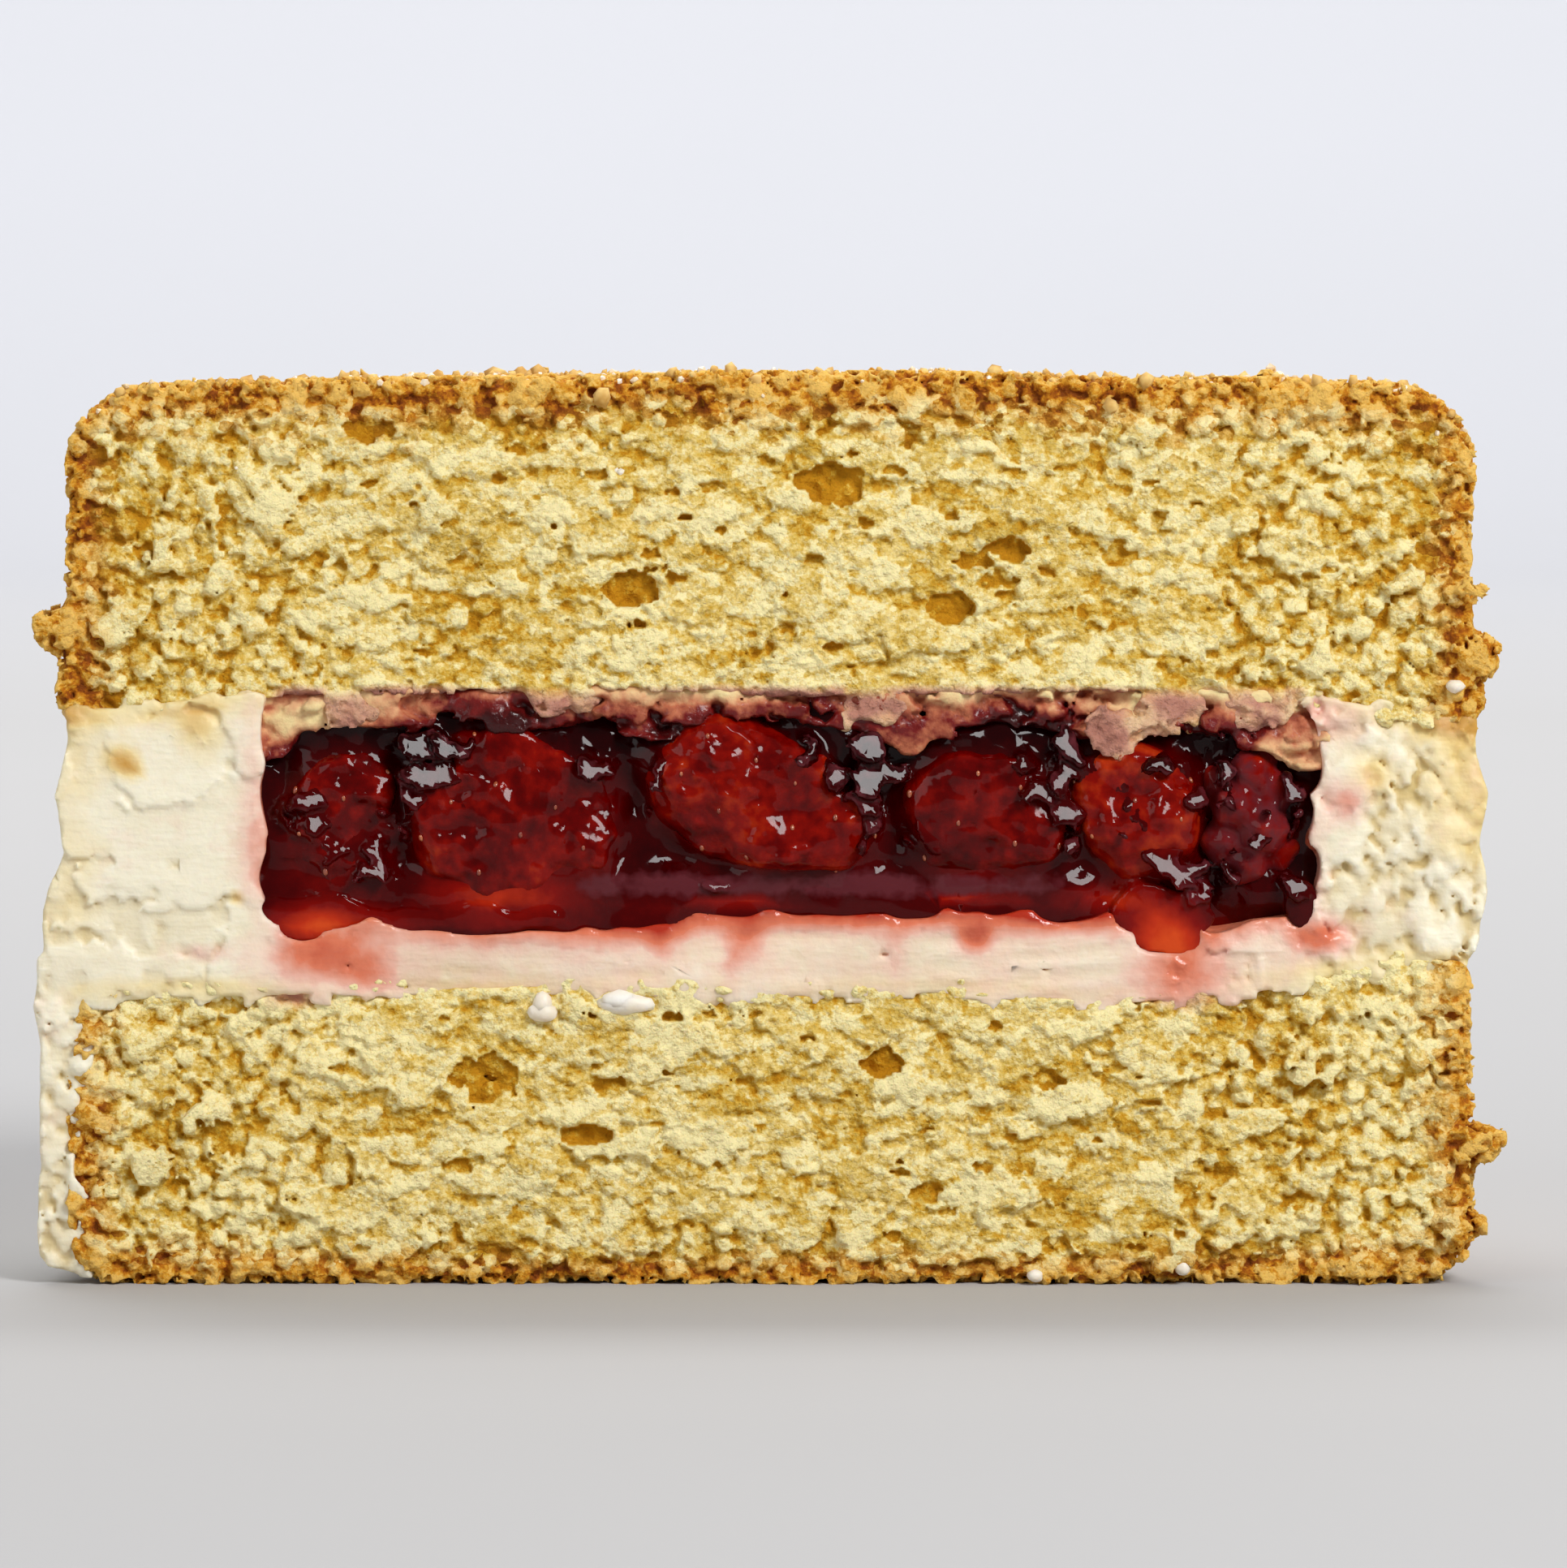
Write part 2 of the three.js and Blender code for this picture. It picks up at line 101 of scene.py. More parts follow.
# %% Measures, in millimetres
MM = 0.001
CUT = -18.2  # where the cut plane is along Y
MOST_FACES = 190000  # in one piece: a piece with more is split in the middle
REACH = 3.2  # how far behind the cut the fine voxels go
OVERLAP = 0.5  # how far the front and back of a layer run into each other
LEVELLED = 2.6  # how far behind the cut an outline is read, to be carried straight forward
BURIED = 4.5  # fruit further behind the cut than this is hidden in the jam
NOTHING = 9.0  # a depth or distance where there is nothing
CAKE_RADIUS = 36.9
CAKE_TOP = 47.5
DOME_FALL = 0.7
JAM_LEFT, JAM_RIGHT = -26.5, 28.4
FRUITS = ["strawberry_1", "strawberry_2", "strawberry_3", "strawberry_4", "strawberry_5"]


def corners(node):
    """The lowest and highest corner of a CAD node, in millimetres."""
    return [np.array(corner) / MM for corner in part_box(node)]


for node in ("sponge_upper", "sponge_lower", "buttercream", "jam"):
    print(node, "from", *[corner.round(1) for corner in corners(node)])

# %% [markdown]
# ## Shapes as fields
# Torn crumb has overhangs, holes and crags, which pushing the faces of a mesh in and out can't
# give. So each piece is a field on a block of voxels: a number at every point, below zero inside
# the food and above zero outside. Adding to a field roughens a surface, the larger of two fields
# keeps what they share, and the smaller joins them. OpenVDB, which comes with Blender, turns a
# CAD mesh into such a field, and turns the finished field back into a mesh.

# %% A block of voxels
class Block:
    """A box of voxels between two corners, `pitch` apart, for shapes written as fields."""

    def __init__(self, low, high, pitch):
        self.pitch = pitch
        self.start = np.floor(np.array(low) / pitch).astype(int)
        self.count = np.ceil(np.array(high) / pitch).astype(int) - self.start + 1
        self.steps = [(first + np.arange(n)) * pitch for first, n in zip(self.start, self.count)]
        self.x = self.steps[0][:, None, None].astype(np.float32)
        self.y = self.steps[1][None, :, None].astype(np.float32)
        self.z = self.steps[2][None, None, :].astype(np.float32)

    def sheet(self):
        """The block squashed to one layer, for heights that depend on X and Z only."""
        ends = [(steps[0], steps[-1]) for steps in self.steps]
        flat = Block([ends[0][0], 0, ends[2][0]], [ends[0][1], 0, ends[2][1]], self.pitch)
        flat.count = self.count.copy()
        flat.steps = [self.steps[0], self.steps[1][:1], self.steps[2]]
        flat.x, flat.y, flat.z = self.x, self.y[:, :1], self.z
        return flat

    def squared_off(self, field, behind):
        """A field whose outline `behind` the cut is carried straight forward through the cut."""
        at = int(np.searchsorted(self.steps[1], CUT + behind))
        if at < self.count[1]:
            carried = np.repeat(field[:, at : at + 1], at, axis=1)
            field = np.concatenate([carried, field[:, at:]], axis=1)
        return field

    def distance(self, node, band=2.6):
        """Millimetres outside a CAD node's surface, below zero inside it, up to `band`."""
        mesh = frame["nodes"][node].data
        points = np.empty(3 * len(mesh.vertices), np.float32)
        mesh.vertices.foreach_get("co", points)
        mesh.calc_loop_triangles()
        triangles = np.empty(3 * len(mesh.loop_triangles), np.int32)
        mesh.loop_triangles.foreach_get("vertices", triangles)
        grid = openvdb.FloatGrid.createLevelSetFromPolygons(
            points.reshape(-1, 3) / MM,
            triangles=triangles.reshape(-1, 3),
            transform=openvdb.createLinearTransform(self.pitch),
            halfWidth=band / self.pitch,
        )
        field = np.empty(self.count, np.float32)
        grid.copyToArray(field, ijk=tuple(int(i) for i in self.start))
        return field

    def blurred(self, field, reach):
        """A field averaged over `reach` millimetres each way, which rounds facets off."""
        steps = max(1, round(reach / self.pitch))
        for axis in (0, 1, 2) * 2:
            ends = [(steps + 1, steps) if n == axis else (0, 0) for n in range(3)]
            total = np.cumsum(np.pad(field, ends, "edge"), axis=axis, dtype=np.float64)
            far = np.take(total, range(2 * steps + 1, total.shape[axis]), axis=axis)
            near = np.take(total, range(total.shape[axis] - 2 * steps - 1), axis=axis)
            field = ((far - near) / (2 * steps + 1)).astype(np.float32)
        return field

    def sample(self, field, points):
        """A field's value at some points, blended between the voxels round them."""
        at = points / self.pitch - self.start
        cell = np.clip(np.floor(at).astype(int), 0, self.count - 2)
        share = np.clip(at - cell, 0, 1)
        value = np.zeros(len(points), np.float32)
        for step in np.ndindex(2, 2, 2):
            i, j, k = (cell + step).T
            value += field[i, j, k] * np.prod(np.where(step, share, 1 - share), axis=1)
        return value


# %% [markdown]
# ## Natural unevenness
# Crumb, cream and jam are uneven at many sizes, but evenly so in all directions. One cube of
# random numbers is filtered once so that its lumps are all of one size. Read at different scales,
# places and directions, that cube gives every unevenness below. It repeats only after 25 lumps.

# %% Lumps of any size
TILE = 128
CELLS_PER_WAVE = 5.0


def make_tile(seed=7):
    """A cube of smooth random numbers, repeating at its faces, with a spread of 1."""
    white = np.random.default_rng(seed).standard_normal((TILE, TILE, TILE)).astype(np.float32)
    across, last = np.fft.fftfreq(TILE), np.fft.rfftfreq(TILE)
    squares = across[:, None, None] ** 2 + across[None, :, None] ** 2 + last[None, None, :] ** 2
    band = np.exp(-(((np.sqrt(squares) * CELLS_PER_WAVE - 1) / 0.35) ** 2))
    tile = np.fft.irfftn(np.fft.rfftn(white) * band, s=white.shape)
    return (tile / tile.std()).astype(np.float32)


tile = make_tile()
print("noise tile", tile.shape, "from", tile.min().round(1), "to", tile.max().round(1))


def lumps(block, size, seed, stretch=(1, 1, 1)):
    """Smooth unevenness with a spread of 1 on a block, its lumps `size` millimetres across."""
    offsets = np.random.default_rng(seed).uniform(0, TILE, 3)
    field = np.transpose(tile, [(0, 1, 2), (1, 2, 0), (2, 0, 1)][seed % 3])
    for axis in range(3):
        at = block.steps[axis] / (2 * size * stretch[axis] / CELLS_PER_WAVE) + offsets[axis]
        cell = np.floor(at).astype(int)
        share = (at - cell).astype(np.float32).reshape([-1 if n == axis else 1 for n in range(3)])
        near, far = (np.take(field, (cell + k) % TILE, axis=axis) for k in (0, 1))
        field = near + (far - near) * share
    return field


def rough(block, size, seed, stretch=(1, 1, 1), octaves=3):
    """Unevenness at several sizes, each half as large and half as strong as the one before."""
    parts = (lumps(block, size / 2**n, seed + 10 * n, stretch) / 2**n for n in range(octaves))
    return sum(parts) / 1.15


def ease(value, low, high):
    """0 below `low`, 1 above `high`, and a smooth rise between."""
    share = np.clip((value - low) / (high - low), 0, 1)
    return share * share * (3 - 2 * share)


def blend(first, second, reach):
    """The smaller of two fields, with a fillet of about `reach` where they meet."""
    meeting = np.clip(1 - np.abs(first - second) / reach, 0, 1)
    return np.minimum(first, second) - meeting**2 * reach / 4


def scattered(
    sheet, size, stretch, seed, cover, near, far, tilt=0.0, dome=0.0, ragged=0.3, square=0.6
):
    """Depths of many small flakes or clumps scattered over the cut, and a random number for each.

    `size` is their spacing in millimetres and `cover` the share of places that has one. They lie
    from `near` to `far` behind the cut, tilted by up to `tilt` and domed by `dome`, with outlines
    made uneven by `ragged`, and round or `square`. Where they overlap the front one counts, and
    where there is none the depth is NOTHING.
    """
    wide, tall = size * stretch[0], size * stretch[1]
    wander = [ragged * rough(sheet, 0.45 * size, seed + n, octaves=3)[:, 0] * 0.45 for n in (1, 2)]
    across = sheet.x[:, 0] / wide + wander[0]
    upward = sheet.z[:, 0] / tall + wander[1]
    table = np.random.default_rng(seed).random((64, 64, 8), np.float32)
    depth = np.full(across.shape[:1] + upward.shape[1:], NOTHING, np.float32)
    chance = np.zeros_like(depth)
    for step in np.ndindex(3, 3):
        column = (np.floor(across).astype(int) + step[0] - 1) + 0 * depth.astype(int)
        row = (np.floor(upward).astype(int) + step[1] - 1) + 0 * depth.astype(int)
        own = table[column % 64, row % 64]
        right = across - column - own[..., 0]
        up = upward - row - own[..., 1]
        turn = 6.3 * own[..., 6]
        turned = np.cos(turn) * right + np.sin(turn) * up, np.cos(turn) * up - np.sin(turn) * right
        box = np.maximum(np.abs(turned[0]), np.abs(turned[1]))
        reach = ((1.1 - square) * np.hypot(right, up) + square * box) / (0.35 + 0.6 * own[..., 2])
        lean = tilt * size * ((own[..., 4] - 0.5) * right + (own[..., 5] - 0.15) * up) * 2
        swell = dome * size * (1 - np.sqrt(1 - np.minimum(reach, 1) ** 2))
        own_depth = near + (far - near) * own[..., 3] + lean + swell
        shows = (reach < 1) & (own[..., 7] < cover) & (own_depth < depth)
        depth = np.where(shows, own_depth, depth)
        chance = np.where(shows, own[..., 4], chance)
    return depth, chance


def spots(x, z, places):
    """Soft spots over the cut, each with a place, half-widths across and up, and a strength."""
    total = np.zeros_like(x)
    for spot_x, spot_z, wide, tall, strength in places:
        total += strength * np.exp(-(((x - spot_x) / wide) ** 2) - ((z - spot_z) / tall) ** 2)
    return total


def ovals(block, places):
    """Millimetres outside some ovals on the cut, each with a place and half-widths."""
    field = np.full((block.count[0], 1, block.count[2]), NOTHING, np.float32)
    for x, z, wide, tall in places:
        away = np.hypot((block.x - x) / wide, (block.z - z) / tall)
        field = np.minimum(field, (away - 1) * min(wide, tall))
    return field


def scoop(block, field, places, radii):
    """Cuts ellipsoid holes out of a field, at `places`, with half-widths `radii` along X, Y, Z."""
    for place, radius in zip(places, radii):
        low = np.floor((place - 1.3 * radius) / block.pitch).astype(int) - block.start
        high = np.ceil((place + 1.3 * radius) / block.pitch).astype(int) - block.start + 1
        low, high = np.clip(low, 0, block.count), np.clip(high, 0, block.count)
        if (high <= low).any():
            continue
        part = tuple(slice(a, b) for a, b in zip(low, high))
        across = (block.x[part[0]] - place[0]) / radius[0]
        along = (block.y[:, part[1]] - place[1]) / radius[1]
        upward = (block.z[:, :, part[2]] - place[2]) / radius[2]
        hole = (1 - np.sqrt(across**2 + along**2 + upward**2)) * radius.min()
        field[part] = np.maximum(field[part], hole)
    return field


def scattered_holes(block, count, middle, spread, shape, seed):
    """Places near the cut, and half-widths, for small holes over the face of a block."""
    rng = np.random.default_rng(seed)
    low = [block.steps[0][0] + 1, CUT - 0.15, block.steps[2][0] + 1]
    high = [block.steps[0][-1] - 1, CUT + 0.75, block.steps[2][-1] - 1]
    places = rng.uniform(low, high, (count, 3))
    size = np.clip(rng.lognormal(np.log(middle), spread, (count, 1)), 0.15, 1.0)
    return places, size * np.array(shape) * rng.uniform(0.8, 1.25, (count, 3))


# %% [markdown]
# ## From a field to a mesh
# Bubbles wholly inside the food and specks that float free of it would be hidden or stray faces,
# so only the outer skin of each piece is kept. Numbers worked out for each point, such as how deep
# it lies in the crumb, are stored on the mesh as attributes, for the materials to read.

# %% Mesh tools
def only_used(points, faces):
    """Points that no face uses are dropped, and the faces renumbered to match."""
    used, renumbered = np.unique(faces, return_inverse=True)
    return points[used], renumbered.reshape(faces.shape)


def outer_skin(points, faces, least=1.0):
    """The connected surfaces with at least a share `least` of the faces of the largest one."""
    label = np.arange(len(points))
    while True:
        lowest = label[faces].min(axis=1)
        smaller = label.copy()
        np.minimum.at(smaller, faces.ravel(), np.repeat(lowest, 3))
        smaller = smaller[smaller]
        if (smaller == label).all():
            break
        label = smaller
    owner = label[faces[:, 0]]
    sizes = np.bincount(owner)
    return only_used(points, faces[sizes[owner] >= least * sizes.max()])


def skin_of(block, field, thrift=0.05, least=1.0):
    """The outer skin where a field is zero, as points and triangles, fewer where it is flat."""
    grid = openvdb.FloatGrid(1.0)
    padded = np.pad(field.astype(np.float32), 1, constant_values=1.0)
    grid.copyFromArray(padded, ijk=tuple(int(i) - 1 for i in block.start))
    grid.transform = openvdb.createLinearTransform(block.pitch)
    points, triangles, quads = grid.convertToPolygons(0.0, thrift)
    faces = np.vstack([triangles, quads[:, [0, 1, 2]], quads[:, [0, 2, 3]]]).astype(np.int64)
    return outer_skin(points, faces, least)


def skin_near_cut(block, field):
    """The outer skin of a piece of fruit, without what is hidden deep in the jam."""
    points, quads = skin_of(block, field)
    hidden = points[quads][:, :, 1].min(axis=1) > CUT + BURIED
    return only_used(points, quads[~hidden])


def add_mesh(name, points, faces, material, attributes=None, smooth=True):
    """A new mesh object from points in millimetres and faces of 3 or 4 corners each."""
    mesh = bpy.data.meshes.new(name)
    mesh.vertices.add(len(points))
    mesh.vertices.foreach_set("co", (points * MM).astype(np.float32).ravel())
    mesh.loops.add(faces.size)
    mesh.loops.foreach_set("vertex_index", faces.astype(np.int32).ravel())
    mesh.polygons.add(len(faces))
    mesh.polygons.foreach_set("loop_start", np.arange(0, faces.size, faces.shape[1], np.int32))
    mesh.polygons.foreach_set("use_smooth", np.full(len(faces), smooth))
    for key, values in (attributes or {}).items():
        attribute = mesh.attributes.new(key, "FLOAT", "POINT")
        attribute.data.foreach_set("value", np.asarray(values, np.float32))
    mesh.validate()
    mesh.update(calc_edges=True)
    mesh.materials.append(material)
    piece = bpy.data.objects.new(name, mesh)
    bpy.context.scene.collection.objects.link(piece)
    print(f"{name}: {len(points)} points, {len(faces) * (faces.shape[1] - 2)} triangles")
    return piece


def attach(piece, node=None):
    """Lets a piece move with the cake, and lets it stand for a CAD node."""
    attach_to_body(piece, "root")
    if node:
        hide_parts(node)


def front_and_back(name, node, fine, coarse, shape, material, lowest=np.inf):
    """A layer in two pieces: fine at the cut, and plainer round the back.

    `shape` takes a block and gives its field, and a function from points to attributes. The
    flat end of the front, which is buried in the back, is left open. `lowest` is how low the
    layer hangs, where that is lower than its CAD node.
    """
    seam = CUT + REACH
    low, high = corners(node)
    low[2] = min(low[2], lowest)
    front = Block(low - 1, np.array([high[0] + 1, seam, high[2] + 1]), fine)
    back = Block([low[0] - 1, seam - OVERLAP, low[2] - 1], high + 1, coarse)
    for block, suffix in ((front, "front"), (back, "back")):
        field, read = shape(block)
        points, quads = skin_of(block, field)
        if block is front:
            buried = points[quads][:, :, 1].min(axis=1) > seam - fine
            points, quads = only_used(points, quads[~buried])
        halves = {"": quads}
        if len(quads) > MOST_FACES:
            right = points[quads][:, :, 0].mean(axis=1) > 0
            halves = {"_left": quads[~right], "_right": quads[right]}
        for side, faces in halves.items():
            own, faces = only_used(points, faces)
            piece = add_mesh(f"{name}_{suffix}{side}", own, faces, material, read(own))
            attach(piece, node)


# %% [markdown]
# ## Material tools
# Every finish is one Principled shader. A small helper wires the nodes, so that each material
# below reads as a list of what is mixed with what. Colours are given as they look on a screen.

# %% Material tools
def screen(red, green, blue):
    """A colour given from 0 to 255 as a screen shows it, in the linear numbers of a shader."""
    value = np.array([red, green, blue]) / 255
    linear = np.where(value <= 0.04045, value / 12.92, ((value + 0.055) / 1.055) ** 2.4)
    return (*linear, 1.0)


class Finish:
    """A material with a Principled shader, and short ways to add nodes in front of it."""

    def __init__(self, name):
        self.material = bpy.data.materials.new(name)
        self.material.use_nodes = True
        self.tree = self.material.node_tree
        self.shader = self.tree.nodes["Principled BSDF"]
        self.place = self.node("ShaderNodeTexCoord").outputs["Object"]

    def node(self, kind, **settings):
        made = self.tree.nodes.new(kind)
        for key, value in settings.items():
            setattr(made, key, value)
        return made

    def feed(self, socket, value):
        """Links a socket to another, or sets it to a number or colour."""
        if isinstance(value, bpy.types.NodeSocket):
            self.tree.links.new(value, socket)
        else:
            socket.default_value = value

    def set(self, **values):
        """Sets the shader's sockets, with _ for the spaces in their names."""
        for key, value in values.items():
            self.feed(self.shader.inputs[key.replace("_", " ")], value)

    def stored(self, name):
        return self.node("ShaderNodeAttribute", attribute_name=name).outputs["Fac"]

    def maths(self, how, first, second):
        made = self.node("ShaderNodeMath", operation=how)
        self.feed(made.inputs[0], first)
        self.feed(made.inputs[1], second)
        return made.outputs[0]

    def grain(self, size, detail=2.0, roughness=0.5, stretch=(1, 1, 1)):
        """Noise from 0 to 1 whose lumps are about `size` millimetres across."""
        mapping = self.node("ShaderNodeMapping")
        self.feed(mapping.inputs["Vector"], self.place)
        mapping.inputs["Scale"].default_value = [1 / s for s in stretch]
        made = self.node("ShaderNodeTexNoise")
        self.feed(made.inputs["Vector"], mapping.outputs["Vector"])
        made.inputs["Scale"].default_value = 0.5 / (size * MM)
        made.inputs["Detail"].default_value = detail
        made.inputs["Roughness"].default_value = roughness
        return made.outputs["Fac"]

    def flecks(self, size, ragged):
        """Ragged flecks, `size` millimetres across: a random number each, and a tilted height."""
        wander = self.node("ShaderNodeTexNoise")
        self.feed(wander.inputs["Vector"], self.place)
        wander.inputs["Scale"].default_value = 1 / (size * MM)
        shift = self.node("ShaderNodeVectorMath", operation="MULTIPLY_ADD")
        self.feed(shift.inputs[0], wander.outputs["Color"])
        shift.inputs[1].default_value = [2 * ragged * size * MM] * 3
        self.feed(shift.inputs[2], self.place)
        squash = self.node("ShaderNodeVectorMath", operation="MULTIPLY")
        self.feed(squash.inputs[0], shift.outputs["Vector"])
        squash.inputs[1].default_value = (0.75 / (size * MM), 1 / (size * MM), 1.25 / (size * MM))
        made = self.node("ShaderNodeTexVoronoi", feature="F1")
        self.feed(made.inputs["Vector"], squash.outputs["Vector"])
        made.inputs["Scale"].default_value = 1
        offset = self.node("ShaderNodeVectorMath", operation="SUBTRACT")
        self.feed(offset.inputs[0], squash.outputs["Vector"])
        self.feed(offset.inputs[1], made.outputs["Position"])
        lean = self.node("ShaderNodeVectorMath", operation="SUBTRACT")
        self.feed(lean.inputs[0], made.outputs["Color"])
        lean.inputs[1].default_value = (0.5, 0.5, 0.5)
        tilted = self.node("ShaderNodeVectorMath", operation="DOT_PRODUCT")
        self.feed(tilted.inputs[0], offset.outputs["Vector"])
        self.feed(tilted.inputs[1], lean.outputs["Vector"])
        return self.red(made.outputs["Color"]), tilted.outputs["Value"]

    def red(self, colour):
        """The first number of a colour."""
        made = self.node("ShaderNodeSeparateColor")
        self.feed(made.inputs["Color"], colour)
        return made.outputs["Red"]

    def shake(self, value, size, amount, detail=2.0):
        """`value` made uneven by noise that adds up to half of `amount` either way."""
        wander = self.maths("SUBTRACT", self.grain(size, detail), 0.5)
        return self.maths("ADD", value, self.maths("MULTIPLY", wander, amount))

    def ramp(self, value, *stops):
        """Colours by value: stops are (position, colour)."""
        made = self.node("ShaderNodeValToRGB")
        elements = made.color_ramp.elements
        while len(elements) < len(stops):
            elements.new(0.5)
        for element, (position, colour) in zip(elements, stops):
            element.position = position
            element.color = colour
        self.feed(made.inputs["Fac"], value)
        return made.outputs["Color"]

    def level(self, value, low, high, start=0.0, end=1.0):
        """`value` stretched so that low to high becomes start to end."""
        made = self.node("ShaderNodeMapRange", clamp=True)
        self.feed(made.inputs["Value"], value)
        names = ("From Min", "From Max", "To Min", "To Max")
        for key, number in zip(names, (low, high, start, end)):
            made.inputs[key].default_value = number
        return made.outputs["Result"]

    def mix(self, share, first, second):
        made = self.node("ShaderNodeMix", data_type="RGBA")
        self.feed(made.inputs[0], share)
        self.feed(made.inputs[6], first)
        self.feed(made.inputs[7], second)
        return made.outputs[2]

    def bump(self, height, depth, under=None):
        """Fine relief: `depth` is its height in millimetres."""
        made = self.node("ShaderNodeBump")
        self.feed(made.inputs["Height"], height)
        made.inputs["Distance"].default_value = depth * MM
        if under:
            self.feed(made.inputs["Normal"], under)
        return made.outputs["Normal"]


# %% [markdown]
# ## Sponge finish
# Cut sponge is pale where the knife has smeared the crumb flat, and turns golden and then
# honey-brown in the recesses, because light that enters them bounces through the yellow crumb
# before it comes out. So the colour follows the stored depth below the cut, roughened with fine
# noise: that golden and honey-brown in the recesses is painted shade. Near the crust the same
# depth reads a browner set of colours. A little subsurface scattering softens the shadows, as
# light creeping through real crumb does.

# %% Sponge material
CRUMB_COLOURS = [
    (0.00, screen(245, 230, 170)),
    (0.25, screen(233, 207, 130)),
    (0.50, screen(217, 183, 88)),
    (0.75, screen(204, 157, 44)),
    (1.00, screen(188, 130, 8)),
]
CRUST_COLOURS = [
    (0.00, screen(230, 184, 92)),
    (0.25, screen(211, 150, 40)),
    (0.50, screen(186, 114, 10)),
    (0.75, screen(154, 80, 0)),
    (1.00, screen(126, 60, 0)),
]


def make_sponge_finish():
    sponge = Finish("sponge")
    flecks = [sponge.flecks(size, 0.6) for size in (1.2, 0.55, 0.26)]
    depth = sponge.shake(sponge.stored("depth"), 3.0, 0.7)
    for (chance, _), amount in zip(flecks, (0.3, 0.35, 0.25)):
        depth = sponge.maths("ADD", depth, sponge.level(chance, 0, 1, -amount / 2, amount / 2))
    depth = sponge.shake(depth, 0.09, 0.8, 2.0)
    crumb = sponge.ramp(depth, *CRUMB_COLOURS)
    crust = sponge.ramp(depth, *CRUST_COLOURS)
    browned = sponge.shake(sponge.stored("crust"), 1.2, 0.4)
    browned = sponge.maths("ADD", browned, sponge.level(flecks[1][0], 0, 1, -0.12, 0.12))
    colour = sponge.mix(sponge.level(browned, 0.3, 0.62), crumb, crust)
    stain = sponge.shake(sponge.stored("stain"), 1.0, 0.7)
    colour = sponge.mix(sponge.level(stain, 0.25, 0.7), colour, screen(206, 150, 128))
    colour = sponge.mix(sponge.level(stain, 0.6, 1.0), colour, screen(104, 22, 20))
    relief = sponge.bump(flecks[1][1], 0.16)
    relief = sponge.bump(flecks[2][1], 0.1, relief)
    relief = sponge.bump(sponge.grain(0.1, 2.0, 0.6), 0.12, relief)
    sponge.set(
        Base_Color=colour,
        Roughness=0.85,
        Normal=relief,
        Subsurface_Weight=0.15,
        Subsurface_Radius=(1.0, 0.62, 0.22),
        Subsurface_Scale=0.6 * MM,
        Specular_IOR_Level=0.25,
    )
    return sponge.material


sponge_finish = make_sponge_finish()
print("sponge finish made")

# %% [markdown]
# ## How brown the crust is
# The oven browns a cake from outside in, deeper at the side of the tin than at its base. For the
# colours, and for where the crumb is rougher, each point needs its distance from the outside,
# which isn't its distance from the cut.

# %% Distance below the crust
TOP_ROUND, BASE_ROUND = 4.5, 4.0  # how round the top edge is, and the browning at the base
BROWNED, RIM_BROWNED = 2.6, 1.5  # how deep the oven has browned the outside, and its rims


def dome(x, y):
    """How high the top crust is."""
    return CAKE_TOP - DOME_FALL * (x**2 + (y - CUT) ** 2) / CAKE_RADIUS**2


def browning(x, y, level, level_depth, corner):
    """How browned a point is, from 1 at the crust: `level` is its depth below the flat crust."""
    side = CAKE_RADIUS - np.hypot(x, y - CUT)
    rim = corner - np.hypot(np.maximum(corner - side, 0), np.maximum(corner - level, 0))
    from_side = np.exp(-np.maximum(side, 0) / BROWNED)
    from_level = np.exp(-np.maximum(level, 0) / level_depth)
    from_rim = np.exp(-np.maximum(rim, 0) / RIM_BROWNED) * (corner > side) * (corner > level)
    return np.maximum(np.maximum(from_side, from_level), from_rim)


def above_top_edge(x, y, z):
    """Millimetres outside the rounded top edge of the cake."""
    inward = TOP_ROUND - (CAKE_RADIUS - np.hypot(x, y - CUT))
    down = TOP_ROUND - (dome(x, y) - z)
    rounded = np.where(np.minimum(inward, down) > 0, np.hypot(inward, down) - TOP_ROUND, -NOTHING)
    return rounded.astype(np.float32)


def upper_browning(x, y, z):
    return browning(x, y, dome(x, y) - z, BROWNED, TOP_ROUND)


def lower_browning(x, y, z):
    return browning(x, y, z, 1.6 + 0.7 * ease(np.abs(x), 18, 32), BASE_ROUND)


# %% [markdown]
# ## Crumb
# A cake's crumb is a foam with thin walls. Where a knife drags through it, the walls fold over
# into overlapping flakes, with small holes between them. Toward the crust the crumb is drier and
# breaks into rounded clumps instead. Both are scattered over the cut in layers, from large and
# proud to small and deep, and the front-most shows. Flakes are flat, tilted and ragged, and clumps
# are domed. Air holes are pressed in after them, and the few flakes that stand proud come last.

# %% Crumb fields
PROUD = -0.2  # how far the front-most flakes stand in front of the cut
PORES = [(0.55, 0.02, 0.2, 0.4), (0.9, 0.005, 0.3, 0.5)]  # size, share of places, near and far
RIDGE = 22.2  # to the right of this, a patch of the lower crumb has fallen back
SOAKED_TO = 31.9  # how high the jam has soaked into the upper sponge
HANG_LOW = 27.8  # how low the upper sponge is taken to reach, with the lumps that hang from it


def smeared_crumb(sheet, seed):
    """Depths and tones of crumb that the knife has smeared into flat, overlapping flakes."""
    layers = [
        scattered(sheet, 2.2, (1.3, 0.7), seed, 0.25, PROUD, 0.0, 0.10, 0.03, 0.35),
        scattered(sheet, 1.2, (1.3, 0.75), seed + 20, 0.7, -0.12, 0.14, 0.15, 0.08, 0.25),
        scattered(sheet, 0.75, (1.2, 0.8), seed + 40, 1.0, -0.02, 0.26, 0.2, 0.12, 0.2),
    ]
    return front_most(layers, 0.34 + 0.08 * rough(sheet, 0.6, seed + 17)[:, 0])


